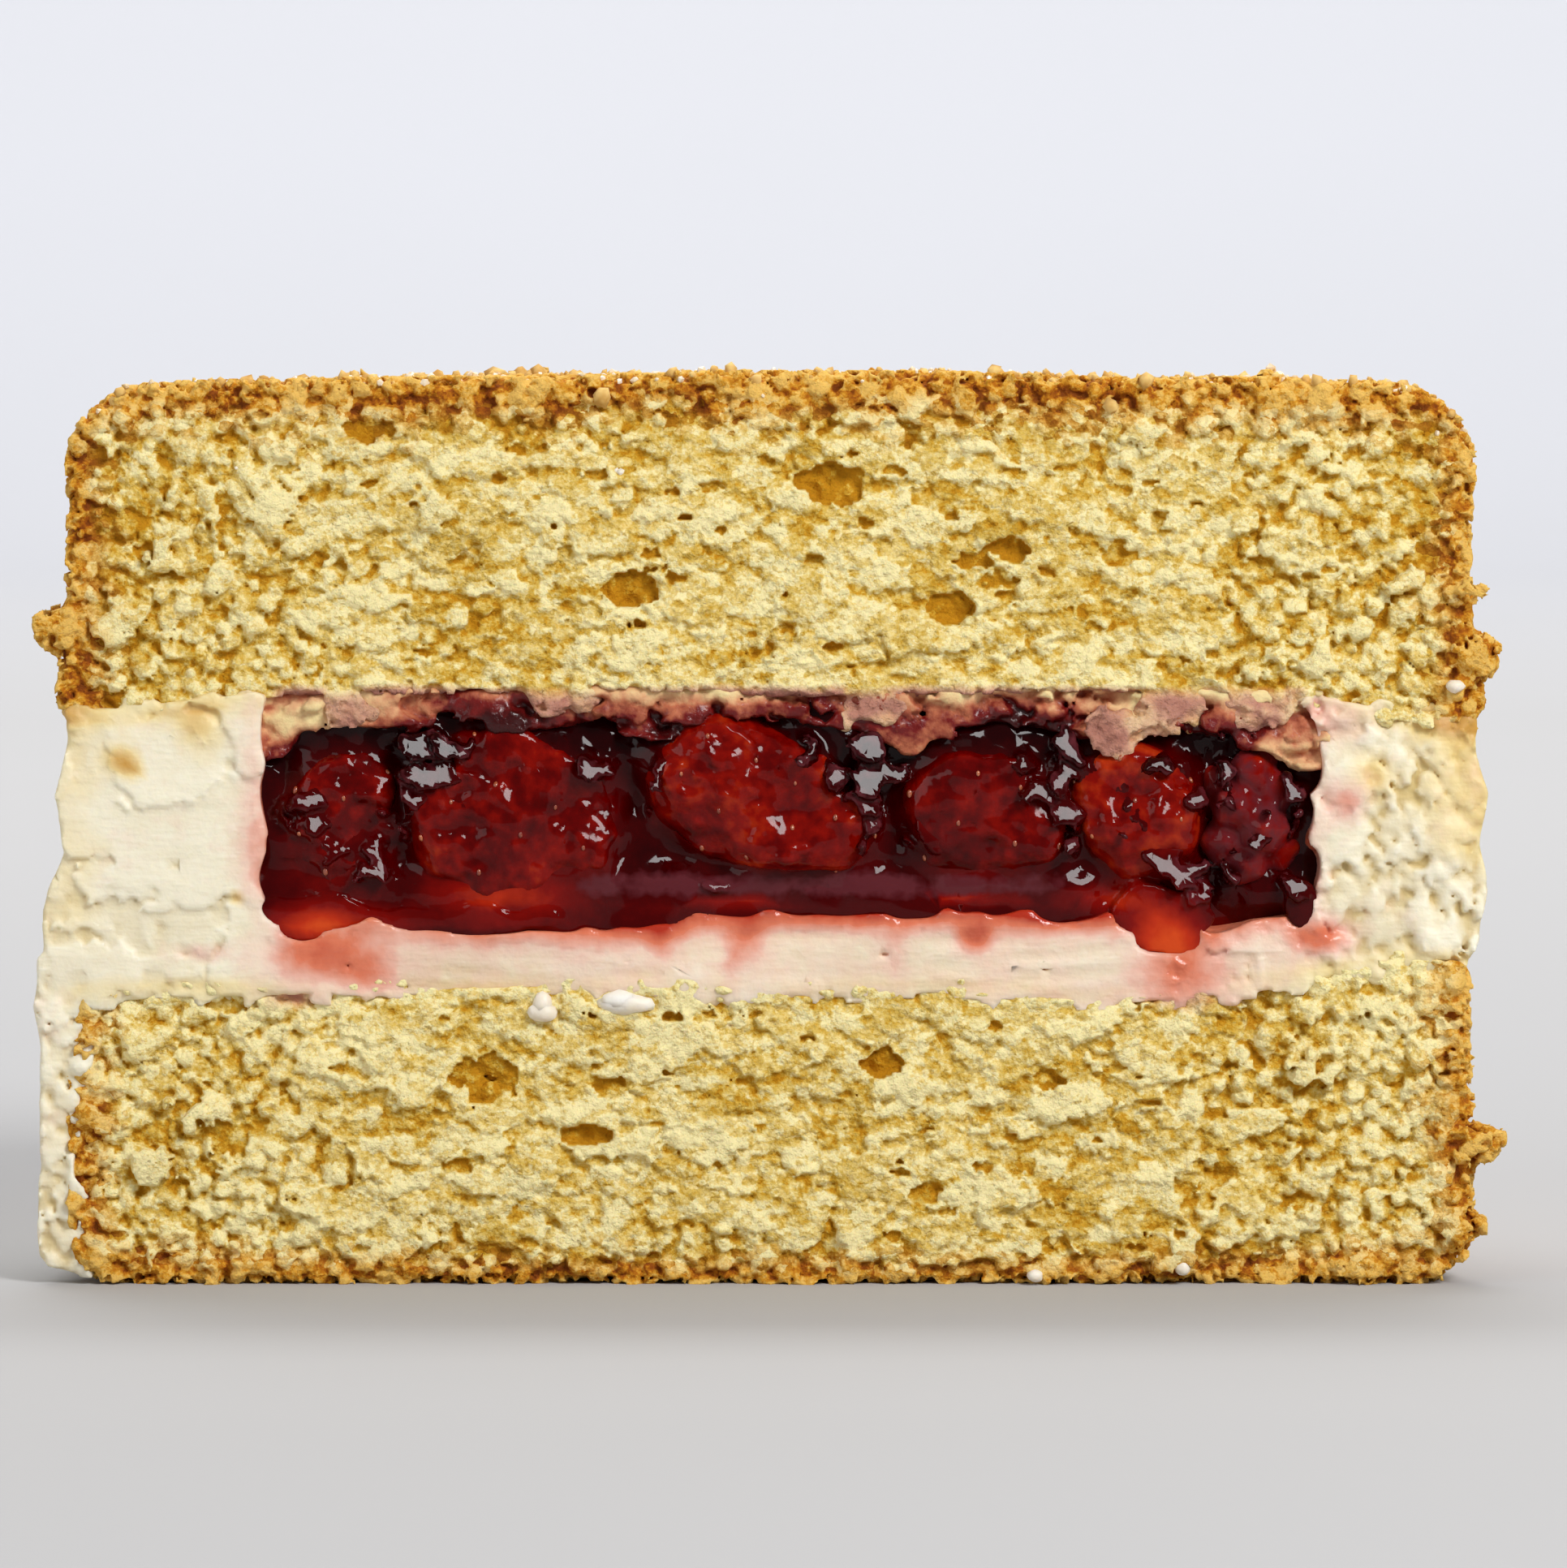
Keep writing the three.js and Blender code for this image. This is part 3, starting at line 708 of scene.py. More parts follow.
def crumbled_crumb(sheet, seed):
    """Depths and tones of drier crumb that has broken into rounded clumps."""
    layers = [
        scattered(sheet, 1.4, (1.0, 1.0), seed + 100, 0.1, -0.3, 0.0, 0.25, 0.3, 0.4, 0.5),
        scattered(sheet, 0.9, (1.0, 1.0), seed + 120, 0.6, -0.15, 0.3, 0.3, 0.45, 0.2, 0.1),
        scattered(sheet, 0.65, (1.0, 1.0), seed + 140, 0.9, 0.0, 0.45, 0.3, 0.5, 0.15, 0.0),
        scattered(sheet, 0.5, (1.0, 1.0), seed + 150, 1.0, 0.25, 0.6, 0.3, 0.5, 0.15, 0.0),
    ]
    return front_most(layers, 0.8 + 0.1 * rough(sheet, 0.8, seed + 18)[:, 0])


def front_most(layers, depth):
    """The front-most of several layers of flakes, over a floor of uneven crumb at `depth`."""
    tone = np.full_like(depth, 0.5)
    for own_depth, chance in layers:
        nearer = own_depth < depth
        depth = np.where(nearer, own_depth, depth)
        tone = np.where(nearer, chance, tone)
    return depth, tone


def crumbliness(block, brown, filling, seed):
    """How far crumb has broken away, all over a sponge, or below 0, how far it stands proud."""
    crumbly = 0.75 * np.clip(1 - np.abs(rough(block, 0.9, seed + 3)) / 0.9, 0, 1)
    crumbly += 0.14 * np.clip(1 - np.abs(lumps(block, 0.36, seed + 5)), 0, 1) - 0.15
    crumbly *= ease(filling, 0.4, 1.4) * (0.5 + 0.5 * ease(brown, 0.2, 0.8))
    torn = np.clip(rough(block, 1.3, seed + 19) - 0.1, 0, 1.2) * ease(CUT + 2.2 - block.y, 0, 1)
    crumbly -= 0.5 * torn * np.exp(-np.maximum(filling, 0) / 0.4)
    return crumbly


def soaked(x, y, z, hung):
    """How far jam has soaked into the upper sponge: less in its lumps, where `hung` is below 0."""
    stain = ease(SOAKED_TO - z, 0.0, 1.5)
    stain *= ease(np.minimum(x - JAM_LEFT, JAM_RIGHT - x), -0.5, 1.5)
    stain *= ease(CUT + 6 - y, 0, 2) * (1 - 0.35 * ease(-hung, -0.4, 0))
    return stain


def golden(x, upper):
    """How golden the smooth crumb of a cut is, which is less so toward its sides."""
    side = 0.6 * ease(-x, 8, 22) if upper else ease(np.abs(x), 12, 26)
    return (0.3 if upper else 0.22) - 0.1 * ease(np.abs(x), 14, 28) - 0.07 * side


def crumb_shape(node, browning_at, seed, air_holes, proud_flakes):
    """A function that gives a block's field for one sponge, and the attributes of its points."""
    upper = node == "sponge_upper"

    def shape(block):
        cad = block.distance(node)
        if upper:
            cad = np.maximum(cad, above_top_edge(block.x, block.y, block.z))
            lumps_below = hanging(block, seed)
        brown = browning_at(block.x, block.y, block.z)
        filling = np.minimum(block.distance("buttercream"), block.distance("jam"))
        crumbly = crumbliness(block, brown, filling, seed)
        field = outside = cad + crumbly
        depth, tone = cut_face(block.sheet(), brown[:, 0], seed, air_holes, proud_flakes, upper)
        if block.steps[1][0] < CUT:
            outside = block.squared_off(cad, LEVELLED) + crumbly
            if upper:
                outside = np.minimum(outside, lumps_below)
            field = np.maximum(outside, CUT + depth[:, None] - block.y)
        mean = block.blurred(np.clip(field, -1, 1), 0.3)

        def read(points):
            x, y, z = points.T
            # How far a point lies in a hollow, which is painted darker there as painted shade.
            hollow_shade = -block.sample(mean, points) / 0.26
            cells = [(points[:, n] / block.pitch - block.start[n]).round() for n in (0, 2)]
            i, k = (np.clip(cell.astype(int), 0, n - 1) for cell, n in zip(cells, tone.shape))
            browned = browning_at(x, y, z)
            on_face = 1 - ease(block.sample(outside, points), -0.4, -0.1) * (browned > 0.5)
            # The stored depth is painted shade: crumb further behind the cut and in hollows is
            # painted darker and more golden, nearer crumb paler, on top of each flake's own random
            # tone.
            below = on_face * (golden(x, upper) + 0.78 * (y - CUT)) + (1 - on_face) * 0.35
            if upper:
                stain = soaked(x, y, z, block.sample(lumps_below, points))
            else:
                stain = spots(x, z, LOWER_STAINS)
                below += spots(x, z, LOWER_GOLD)
            shade = below + 0.4 * hollow_shade + 0.7 * (tone[i, k] - 0.5) * on_face
            return {"depth": np.clip(shade, 0, 1.6), "crust": browned, "stain": stain}

        return field, read

    return shape


def hanging(block, seed):
    """Millimetres outside the lumps of crumb that hang over the jam."""
    outline = ovals(block, HANGING) + 0.25 * rough(block, 1.0, seed + 21)
    return np.maximum(outline, block.y - CUT - 1.8)


def cut_face(sheet, brown, seed, air_holes, proud_flakes, upper):
    """Depths and tones over a sponge's whole cut face: flakes, clumps, air holes, proud flakes."""
    x, z = sheet.x[:, 0], sheet.z[:, 0]
    smeared, smeared_tone = smeared_crumb(sheet, seed)
    crumbled, crumbled_tone = crumbled_crumb(sheet, seed)
    dry = np.maximum(ease(np.abs(x), 17, 30), 1.4 * brown)
    dry = dry + 0.25 * lumps(sheet, 2.2, seed + 7)[:, 0] > 0.5
    depth, tone = np.where(dry, crumbled, smeared), np.where(dry, crumbled_tone, smeared_tone)
    gentle = sheet.blurred(depth[:, None], 0.32)[:, 0]
    depth = np.minimum(depth, gentle + np.where(dry, 0.24, 0.13))
    fine, broad = lumps(sheet, 0.28, seed + 8)[:, 0], lumps(sheet, 4.5, seed + 9)[:, 0]
    depth = depth + 0.05 * fine + 0.1 * broad
    for size, share, near, far in PORES:
        own_seed = seed + 160 + int(size)
        pores = scattered(sheet, size, (1.15, 0.55), own_seed, share, near, far, ragged=0.4)[0]
        pores = np.where(pores < 2, pores, -NOTHING)
        # Pores get a darker tone: painted shade in them.
        depth, tone = np.maximum(depth, pores), np.where(pores > depth, 0.7, tone)
    if not upper:
        fallen = ease(x + 0.8 * lumps(sheet, 3.0, seed + 11)[:, 0], RIDGE, RIDGE + 0.7)
        depth = depth + 0.35 * fallen * ease(-x, -31, -25)
    ragged, pitted = rough(sheet, 0.8, seed + 13)[:, 0], lumps(sheet, 0.4, seed + 12)[:, 0]
    rng = np.random.default_rng(seed)
    for hole_x, hole_z, wide, tall, crisp in air_holes:
        right, up = (x - hole_x) / (wide / 2), (z - hole_z) / (tall / 2)
        sides = np.arange(7) * 0.9 + rng.uniform(-0.25, 0.25, 7)
        walls = [(np.cos(a) * right + np.sin(a) * up) / rng.uniform(0.8, 1.0) for a in sides]
        within = np.max(walls, axis=0) + (0.36 - 0.26 * crisp) * ragged < 1
        hole = 0.36 + 0.26 * crisp + 0.1 * ragged + 0.07 * pitted
        depth = np.where(within, np.maximum(depth, hole), depth)
        # The floor of each air hole gets a darker, more golden tone: painted shade in the hole.
        tone = np.where(within, 0.75 + 0.4 * crisp + 0.2 * pitted, tone)
    for flake_x, flake_z, wide, out in proud_flakes:
        away = np.hypot(x - flake_x, (z - flake_z) * 1.2) + 0.4 * ragged
        on = (away < wide) & (depth > -out)
        depth, tone = np.where(on, 0.12 * away - out, depth), np.where(on, -0.1, tone)
    return depth, tone


# %% [markdown]
# The front of each sponge, where the cut shows, gets voxels of about a sixth of a millimetre. The
# round outside is plainer, and gets coarser ones. The two overlap by half a millimetre, and follow
# the same noise, so that the join doesn't show.

# %% Sponge meshes
FINE, COARSE = 0.16, 0.45
UPPER_HOLES = [
    (3.1, 41.8, 3.5, 2.5, 1), (-7.2, 36.3, 2.9, 2.0, 1), (9.4, 35.4, 2.4, 1.9, 1),
    (12.5, 38.5, 2.2, 1.1, 0.8), (18.1, 38.0, 1.8, 1.2, 0.2), (34.4, 38.0, 3.0, 1.5, 0.3),
    (-21.0, 44.6, 2.4, 1.4, 0.3), (-28.2, 39.8, 1.3, 3.2, 0), (-32.9, 39.9, 1.4, 1.6, 0.3),
    (-35.0, 43.2, 1.8, 0.9, 0.6),
]
LOWER_HOLES = [
    (-14.9, 10.8, 3.3, 2.9, 0.6), (-8.5, 10.5, 2.2, 1.0, 0.3), (-9.6, 7.8, 2.7, 1.3, 1),
    (5.8, 11.6, 2.6, 1.6, 0.9), (14.7, 10.7, 1.9, 1.2, 0.5), (8.1, 4.7, 1.8, 1.2, 0.3),
    (-28.2, 7.6, 2.0, 2.4, 0.3),
]
HANGING = [
    (-22.1, 30.2, 1.3, 1.1), (5.6, 30.2, 1.8, 1.0), (17.8, 28.9, 1.2, 1.4), (20.8, 30.2, 1.7, 1.3),
    (-11.0, 30.6, 1.6, 0.8), (25.6, 30.4, 2.2, 1.2),
]
LOWER_GOLD = [(19.0, 8.0, 3.5, 6.0, 0.16)]
LOWER_STAINS = [(21.5, 15.2, 1.8, 1.2, 0.7), (-25.2, 15.4, 1.8, 1.2, 0.7)]
UPPER_FLAKES = [
    (-31.4, 37.9, 0.9, 0.45), (-34.2, 34.4, 1.3, 0.5), (-37.2, 34.5, 1.3, 0.5),
    (19.3, 44.2, 0.8, 0.4), (33.0, 37.0, 0.8, 0.5), (36.7, 36.3, 0.9, 0.4), (36.6, 33.0, 0.9, 0.4),
    (-17.5, 40.6, 1.1, 0.5), (-25.9, 40.6, 1.3, 0.36),
]
LOWER_FLAKES = [
    (36.6, 7.4, 1.0, 0.4), (35.7, 3.0, 1.0, 0.4), (36.4, 11.4, 0.9, 0.4), (28.3, 11.2, 1.1, 0.5),
    (-32.5, 6.3, 1.1, 0.5), (21.4, 1.6, 1.0, 0.5), (-30.3, 9.0, 0.9, 0.5), (-35.5, 8.8, 1.0, 0.4),
]
SPONGES = [
    ("upper_sponge", "sponge_upper", upper_browning, 200, UPPER_HOLES, UPPER_FLAKES, HANG_LOW),
    ("lower_sponge", "sponge_lower", lower_browning, 500, LOWER_HOLES, LOWER_FLAKES, np.inf),
]
for name, node, browning_at, seed, air_holes, proud_flakes, lowest in SPONGES:
    shape = crumb_shape(node, browning_at, seed, air_holes, proud_flakes)
    front_and_back(name, node, FINE, COARSE, shape, sponge_finish, lowest)

# %% [markdown]
# ## Buttercream
# Buttercream is stiff enough to be cut, so the knife leaves smooth patches with ragged edges,
# short cracks where it tore, and a few pinholes of beaten air. It is smoothest under the jam, and
# fluffiest at the right end. Fat from the sponge turns it yellow, and the jam bleeds pink into it.

# %% Buttercream material
def make_cream_finish():
    cream = Finish("buttercream")
    # The depth ramp is painted shade: the cream turns darker and yellower in its recesses.
    depth = cream.shake(cream.stored("depth"), 0.6, 0.25, 3.0)
    colour = cream.ramp(
        depth,
        (0.0, screen(243, 235, 211)),
        (0.3, screen(232, 220, 187)),
        (0.65, screen(213, 190, 134)),
        (1.0, screen(190, 158, 92)),
    )
    oil = cream.shake(cream.stored("oil"), 1.1, 0.6, 3.0)
    colour = cream.mix(cream.level(oil, 0.15, 0.7, 0, 0.75), colour, screen(234, 206, 128))
    colour = cream.mix(cream.level(oil, 0.6, 1.1, 0, 0.85), colour, screen(196, 140, 40))
    pink = cream.shake(cream.shake(cream.stored("pink"), 1.6, 0.4, 3.0), 0.4, 0.2)
    colour = cream.mix(cream.level(pink, 0.08, 0.5, 0, 0.9), colour, screen(236, 190, 174))
    colour = cream.mix(cream.level(pink, 0.4, 0.8), colour, screen(220, 124, 92))
    colour = cream.mix(cream.level(pink, 0.8, 1.2), colour, screen(176, 48, 26))
    relief = cream.bump(cream.grain(0.5, 2.0, 0.6, (3, 1, 0.7)), 0.1)
    relief = cream.bump(cream.grain(0.22, 2.0), 0.06, relief)
    cream.set(
        Base_Color=colour,
        Roughness=cream.level(pink, 0.3, 0.9, 0.5, 0.2),
        Normal=relief,
        Subsurface_Weight=0.35,
        Subsurface_Radius=(1.0, 0.8, 0.5),
        Subsurface_Scale=0.8 * MM,
        Specular_IOR_Level=0.4,
    )
    return cream.material


cream_finish = make_cream_finish()
print("buttercream finish made")


# %% Where the jam lies
SPILLS = [
    (20.4, 19.4, 2.8, 1.3), (20.6, 18.2, 1.8, 1.0), (-23.6, 19.4, 3.0, 1.0),
    (-24.4, 18.7, 1.4, 0.8), (-15.5, 19.0, 4.0, 0.7), (27.6, 19.9, 0.8, 1.2),
]


def pool(block):
    """Millimetres outside the pool that holds the jam and its fruit."""
    fruit = np.minimum.reduce([block.distance(node) for node in FRUITS + ["raspberry"]])
    return np.minimum(block.distance("jam"), fruit - 0.6)


def spilled(block):
    """Millimetres outside the jam that has run down over the cut."""
    outline = ovals(block, SPILLS) + 0.12 * lumps(block, 1.8, 61)
    return np.maximum(outline, block.y - CUT - 1.6)


# %% Buttercream mesh
PINK_STREAKS = [
    (-6.8, 18.9, 2.8, 0.9, 0.5), (-5.6, 18.0, 0.8, 1.0, 0.35), (-1.2, 18.4, 1.0, 1.4, 0.5),
    (-1.9, 17.0, 0.7, 1.0, 0.3), (4.0, 19.3, 5.0, 0.8, 0.45), (10.6, 18.2, 1.0, 0.8, 0.75),
    (15.0, 19.4, 3.0, 0.8, 0.6), (6.5, 17.4, 0.7, 1.4, 0.25), (21.2, 16.4, 2.0, 1.8, 0.6),
    (28.7, 18.2, 1.6, 1.0, 0.8), (-23.4, 17.4, 2.8, 1.4, 0.7), (-21.0, 16.2, 1.6, 1.0, 0.35),
    (-27.0, 25.0, 0.9, 6.0, 0.3), (-29.5, 17.4, 1.6, 0.5, 0.35), (29.9, 25.3, 1.3, 1.3, 0.5),
    (29.5, 29.6, 2.0, 1.4, 0.3), (12.0, 19.8, 12.0, 0.5, 0.3),
]
OIL_SPOTS = [
    (-33.9, 27.5, 0.8, 0.8, 1.0), (-33.2, 26.9, 0.5, 0.5, 0.8), (31.4, 26.6, 1.3, 1.3, 0.8),
    (-27.8, 20.3, 0.45, 0.45, 1.0), (-29.8, 29.0, 1.6, 1.6, 0.7),
]
FLUFF = [(2.4, 75, 0.5, -0.3, 0.1), (1.2, 76, 0.7, -0.2, 0.3), (0.7, 77, 0.9, -0.05, 0.4)]


def cut_cream(sheet):
    """Depths over the cut buttercream: broad smeared patches, then fluffy lumps to the right."""
    patches = [
        scattered(sheet, 6.5, (1.1, 1.2), 71, 0.5, -0.25, 0.05, 0.02),
        scattered(sheet, 3.4, (1.3, 0.9), 72, 0.5, -0.2, 0.15, 0.04),
        scattered(sheet, 1.8, (1.3, 0.8), 73, 0.35, -0.1, 0.2, 0.06),
        scattered(sheet, 1.1, (2.2, 0.5), 69, 0.35, -0.08, 0.16, 0.06),
        scattered(sheet, 1.0, (0.5, 1.9), 68, 0.2, -0.08, 0.16, 0.06),
    ]
    depth = 0.14 + 0.05 * rough(sheet, 1.5, 74)[:, 0]
    for own_depth, _ in patches:
        depth = np.minimum(depth, own_depth)
    fluff = np.full_like(depth, 0.45)
    for size, seed, cover, near, far in FLUFF:
        clumps = scattered(sheet, size, (0.9, 1.2), seed, cover, near, far, 0.2, 0.35)[0]
        fluff = np.minimum(fluff, clumps)
    x, z = sheet.x[:, 0], sheet.z[:, 0]
    fluffy = ease(x + 3 * lumps(sheet, 3.0, 78)[:, 0], 24, 30)
    fluffy = fluffy + ease(-x, 34.5, 36) * ease(-z, -17, -15)
    depth = depth + (fluff - depth) * fluffy
    under_jam = ease(x, JAM_LEFT - 0.5, JAM_LEFT + 1) * ease(-x, -22, -18) * ease(-z, -21, -19)
    broad, streaks = lumps(sheet, 3.5, 79, (2, 1, 0.8)), lumps(sheet, 0.5, 80, (7, 1, 0.9))
    smooth = 0.04 + 0.10 * broad[:, 0] + 0.05 * streaks[:, 0]
    return depth + (smooth - depth) * under_jam


def cream_shape(block):
    cad = block.distance("buttercream")
    jam = pool(block)
    sponge = np.minimum(block.distance("sponge_upper"), block.distance("sponge_lower"))
    spread = 0.22 * lumps(block, 1.6, 81, (3.0, 3.0, 0.8)) * ease(block.y - CUT, 1, 4)
    field = cad + spread - 0.8 * np.exp(-np.maximum(sponge, 0) / 0.5)
    worn = 0.3 + 0.45 * rough(block, 1.9, 62, octaves=2)
    field = np.maximum(field + worn * np.exp(-np.maximum(jam, 0) / 0.9), -0.1 - spilled(block))
    if block.steps[1][0] < CUT:
        sheet = block.sheet()
        torn = np.clip(rough(block, 1.2, 64) + 0.2, 0, 1.3) * np.exp(-np.maximum(sponge, 0) / 0.4)
        field = block.squared_off(field, 1.0) - 0.5 * torn * (block.y < CUT + 0.6)
        field = np.maximum(field, CUT + cut_cream(sheet)[:, None] - block.y)
        field = scoop(block, field, *scattered_holes(block, 150, 0.15, 0.3, (1.3, 1.0, 0.8), 83))
    mean = block.blurred(np.clip(field, -1, 1), 0.45)

    def read(points):
        x, y, z = points.T
        hollow_shade = -block.sample(mean, points) / 0.35
        bleed = block.sample(jam, points)
        below = ease(x, JAM_LEFT, JAM_LEFT + 1.5) * ease(-x, -JAM_RIGHT, 1.5 - JAM_RIGHT)
        below *= ease(-z, -20.5, -19)
        pink = 0.9 * np.exp(-np.maximum(bleed - 0.35, 0) / (0.6 + 0.7 * below))
        pink += spots(x, z, PINK_STREAKS) * (y < CUT + 2)
        near_sponge = np.exp(-np.maximum(block.sample(sponge, points) - 0.3, 0) / 0.5)
        oil = 0.6 * near_sponge * ease(z, 13, 16)
        at_ends = 0.75 * ease(x, 32, 36.5) * ease(z, 20.5, 23.5)
        oil += at_ends + 0.4 * ease(-x, 33, 37) * ease(z, 16, 20)
        oil += spots(x, z, OIL_SPOTS)
        # The cream's depth is painted shade: darker and yellower further behind the cut and in
        # hollows.
        return {
            "depth": np.clip((y < CUT + 1.5) * (y - CUT + 0.2) / 1.2 + 0.35 * hollow_shade, 0, 1),
            "pink": pink,
            "oil": oil * (1 - 0.8 * np.clip(pink, 0, 1)),
        }

    return field, read


CREAM_FINE, CREAM_COARSE = 0.19, 0.5
front_and_back(
    "cream", "buttercream", CREAM_FINE, CREAM_COARSE, cream_shape, cream_finish
)

# %% [markdown]
# ## Jam and fruit
# The jam is a dark, set gel that clings to the pieces of fruit. Where it meets them it climbs a
# little way up their sides, as any liquid does in a narrow gap, and those smooth webs catch the
# window. The gel is painted nearly black toward the top, which is painted shade, and painted to
# glow orange-red at the bottom, where it is thin enough for light to come back through it from
# the cream.

# %% Jam and fruit materials
def make_wet(made, colour, roughness, relief, creep, coat_roughness, coat_ior):
    """Makes a finish dark and wet: `creep` is how far red, green and blue light go in."""
    made.set(
        Base_Color=colour,
        Roughness=roughness,
        Normal=relief,
        Subsurface_Weight=0.1,
        Subsurface_Radius=creep,
        Subsurface_Scale=0.8 * MM,
        Specular_IOR_Level=0.0,
        Coat_Weight=1.0,
        Coat_Roughness=coat_roughness,
        Coat_IOR=coat_ior,
    )
    return made.material


def make_jam_finish():
    jam = Finish("jam")
    # The stored number sets how bright the gel is painted: painted glow where it is thin, painted
    # shade toward the top.
    glow = jam.shake(jam.shake(jam.stored("glow"), 1.4, 0.4, 3.0), 0.25, 0.12)
    colour = jam.ramp(
        glow,
        (0.0, screen(32, 0, 1)),
        (0.3, screen(72, 0, 1)),
        (0.6, screen(124, 8, 3)),
        (0.85, screen(184, 44, 12)),
        (1.0, screen(206, 70, 22)),
    )
    # A painted lilac-grey reflection mixed into the colour, where the webs shine and in a band low
    # in the gel.
    veil = jam.shake(jam.shake(jam.stored("veil"), 1.2, 0.9, 3.0), 0.3, 0.5)
    colour = jam.mix(jam.level(veil, 0.35, 0.7, 0.0, 0.9), colour, screen(92, 36, 42))
    relief = jam.bump(jam.grain(0.9, 1.0), 0.02)
    relief = jam.bump(jam.grain(0.16, 2.0, 0.6), 0.012, relief)
    return make_wet(jam, colour, 0.4, relief, (1.0, 0.25, 0.12), 0.06, 1.24)


def make_fruit_finish():
    fruit = Finish("fruit")
    glow = fruit.shake(fruit.shake(fruit.stored("glow"), 1.6, 0.7, 3.0), 0.4, 0.7, 3.0)
    colour = fruit.ramp(
        glow,
        (0.0, screen(44, 0, 0)),
        (0.35, screen(90, 0, 0)),
        (0.6, screen(128, 10, 2)),
        (0.85, screen(168, 46, 12)),
        (1.0, screen(206, 98, 44)),
    )
    relief = fruit.bump(fruit.grain(0.35, 2.0, 0.6), 0.1)
    return make_wet(fruit, colour, 0.35, relief, (1.0, 0.25, 0.1), 0.08, 1.26)


jam_finish = make_jam_finish()
fruit_finish = make_fruit_finish()
print("jam and fruit finishes made")


# %% Fruit meshes
FRUIT_GLOW = dict(zip(FRUITS, (0.32, 0.4, 0.5, 0.34, 0.6)))
FRUIT_FRONT = dict(zip(FRUITS, (0.05, -0.15, -0.55, -0.1, -0.35)))
FRUIT_PITCH, RASPBERRY_PITCH = 0.16, 0.14


def fruit_field(block, node):
    """A piece of fruit that the knife has flattened, its edges rounded and its flesh wrinkled."""
    outline = block.squared_off(block.blurred(block.distance(node), 0.9) - 0.55, LEVELLED)
    outline = outline + 0.12 * lumps(block, 1.5, 91)
    relief = 0.2 * lumps(block, 2.2, 92) + 0.07 * lumps(block, 0.7, 93)
    relief = relief + 0.03 * lumps(block, 0.36, 94)
    return -blend(-outline, block.y - CUT - FRUIT_FRONT[node] - relief, 2.2)


def add_fruit(node):
    low, high = corners(node)
    block = Block(low - 1, high + 1, FRUIT_PITCH)
    field = fruit_field(block, node)
    points, quads = skin_near_cut(block, field)
    # The fruit's colour carries painted light and shade: a glow brighter on its rounded parts,
    # darker in its folds and further behind the cut.
    glow = FRUIT_GLOW[node] + 0.6 * block.sample(block.blurred(field, 0.4), points)
    glow = glow - 0.22 * ease(points[:, 1] - CUT, 0.3, 1.2)
    attach(add_mesh(f"{node}_flesh", points, quads, fruit_finish, {"glow": glow}), node)


for node in FRUITS:
    add_fruit(node)

# %% Jam mesh
# Spots where the gel's painted glow is strongest: place, half-widths across and up, and strength.
ORANGE_POOLS = [
    (-14.0, 20.3, 4.2, 1.0, 0.45), (20.8, 17.8, 2.2, 1.9, 0.85), (17.5, 20.2, 3.0, 0.8, 0.4),
    (-23.5, 18.8, 3.2, 1.0, 0.7), (-2.0, 20.0, 5.0, 0.35, 0.35), (-15.0, 18.9, 4.0, 0.4, 0.25),
    (8.0, 20.2, 6.0, 0.3, 0.4),
]
WEBS = [
    (-18.2, 28.0, 1.2, 0.8, -0.35), (-16.4, 28.1, 1.0, 0.6, -0.35), (-17.6, 26.8, 1.4, 0.9, -0.4),
    (-18.6, 25.7, 0.9, 0.8, -0.3), (-19.0, 24.6, 0.5, 0.9, -0.2), (-24.3, 25.4, 0.8, 0.7, -0.25),
    (-24.0, 24.2, 0.9, 0.6, -0.2), (-22.6, 22.6, 0.5, 0.4, -0.1), (-20.6, 22.0, 0.6, 1.0, -0.15),
    (2.0, 28.0, 0.5, 0.7, -0.6), (4.9, 28.2, 1.2, 0.8, -0.5), (3.3, 26.6, 1.1, 0.7, -0.75),
    (5.2, 26.7, 1.1, 0.9, -0.5), (4.9, 25.3, 0.9, 0.8, -0.6), (5.2, 24.2, 0.5, 0.7, -0.4),
    (8.1, 23.7, 0.7, 0.8, -0.1), (8.7, 22.8, 0.7, 0.5, -0.1), (-5.8, 27.2, 0.4, 1.0, -0.4),
    (15.6, 28.0, 0.7, 0.7, -0.2), (15.2, 26.9, 0.9, 0.8, -0.3), (14.4, 25.8, 1.2, 0.7, -0.35),
    (15.4, 24.8, 0.9, 0.8, -0.3), (16.0, 23.8, 0.5, 0.8, -0.2), (13.0, 27.2, 0.5, 0.4, -0.2),
    (20.6, 22.4, 1.2, 0.8, -0.25), (21.9, 21.8, 0.7, 0.9, -0.1), (22.1, 20.6, 0.6, 1.0, -0.1),
    (21.9, 25.6, 0.4, 0.9, -0.5), (19.4, 24.2, 0.5, 0.6, -0.5), (20.2, 27.2, 0.6, 0.4, -0.6),
    (23.8, 26.8, 0.35, 1.0, -0.3), (24.1, 25.4, 0.35, 0.8, -0.3), (27.0, 25.6, 0.6, 0.7, -0.3),
    (27.4, 24.4, 0.5, 0.7, -0.2), (23.7, 22.2, 0.35, 0.7, -0.3), (25.5, 23.4, 0.6, 0.4, -0.4),
    (27.2, 20.8, 0.6, 0.5, -0.2), (-9.2, 27.2, 0.4, 0.5, -0.3), (-3.2, 20.8, 0.6, 0.25, 0.2),
]


JAM_LEVELLED = 1.6  # how far behind the cut the jam's outline is read
JAM_FINE, JAM_COARSE = 0.17, 0.7


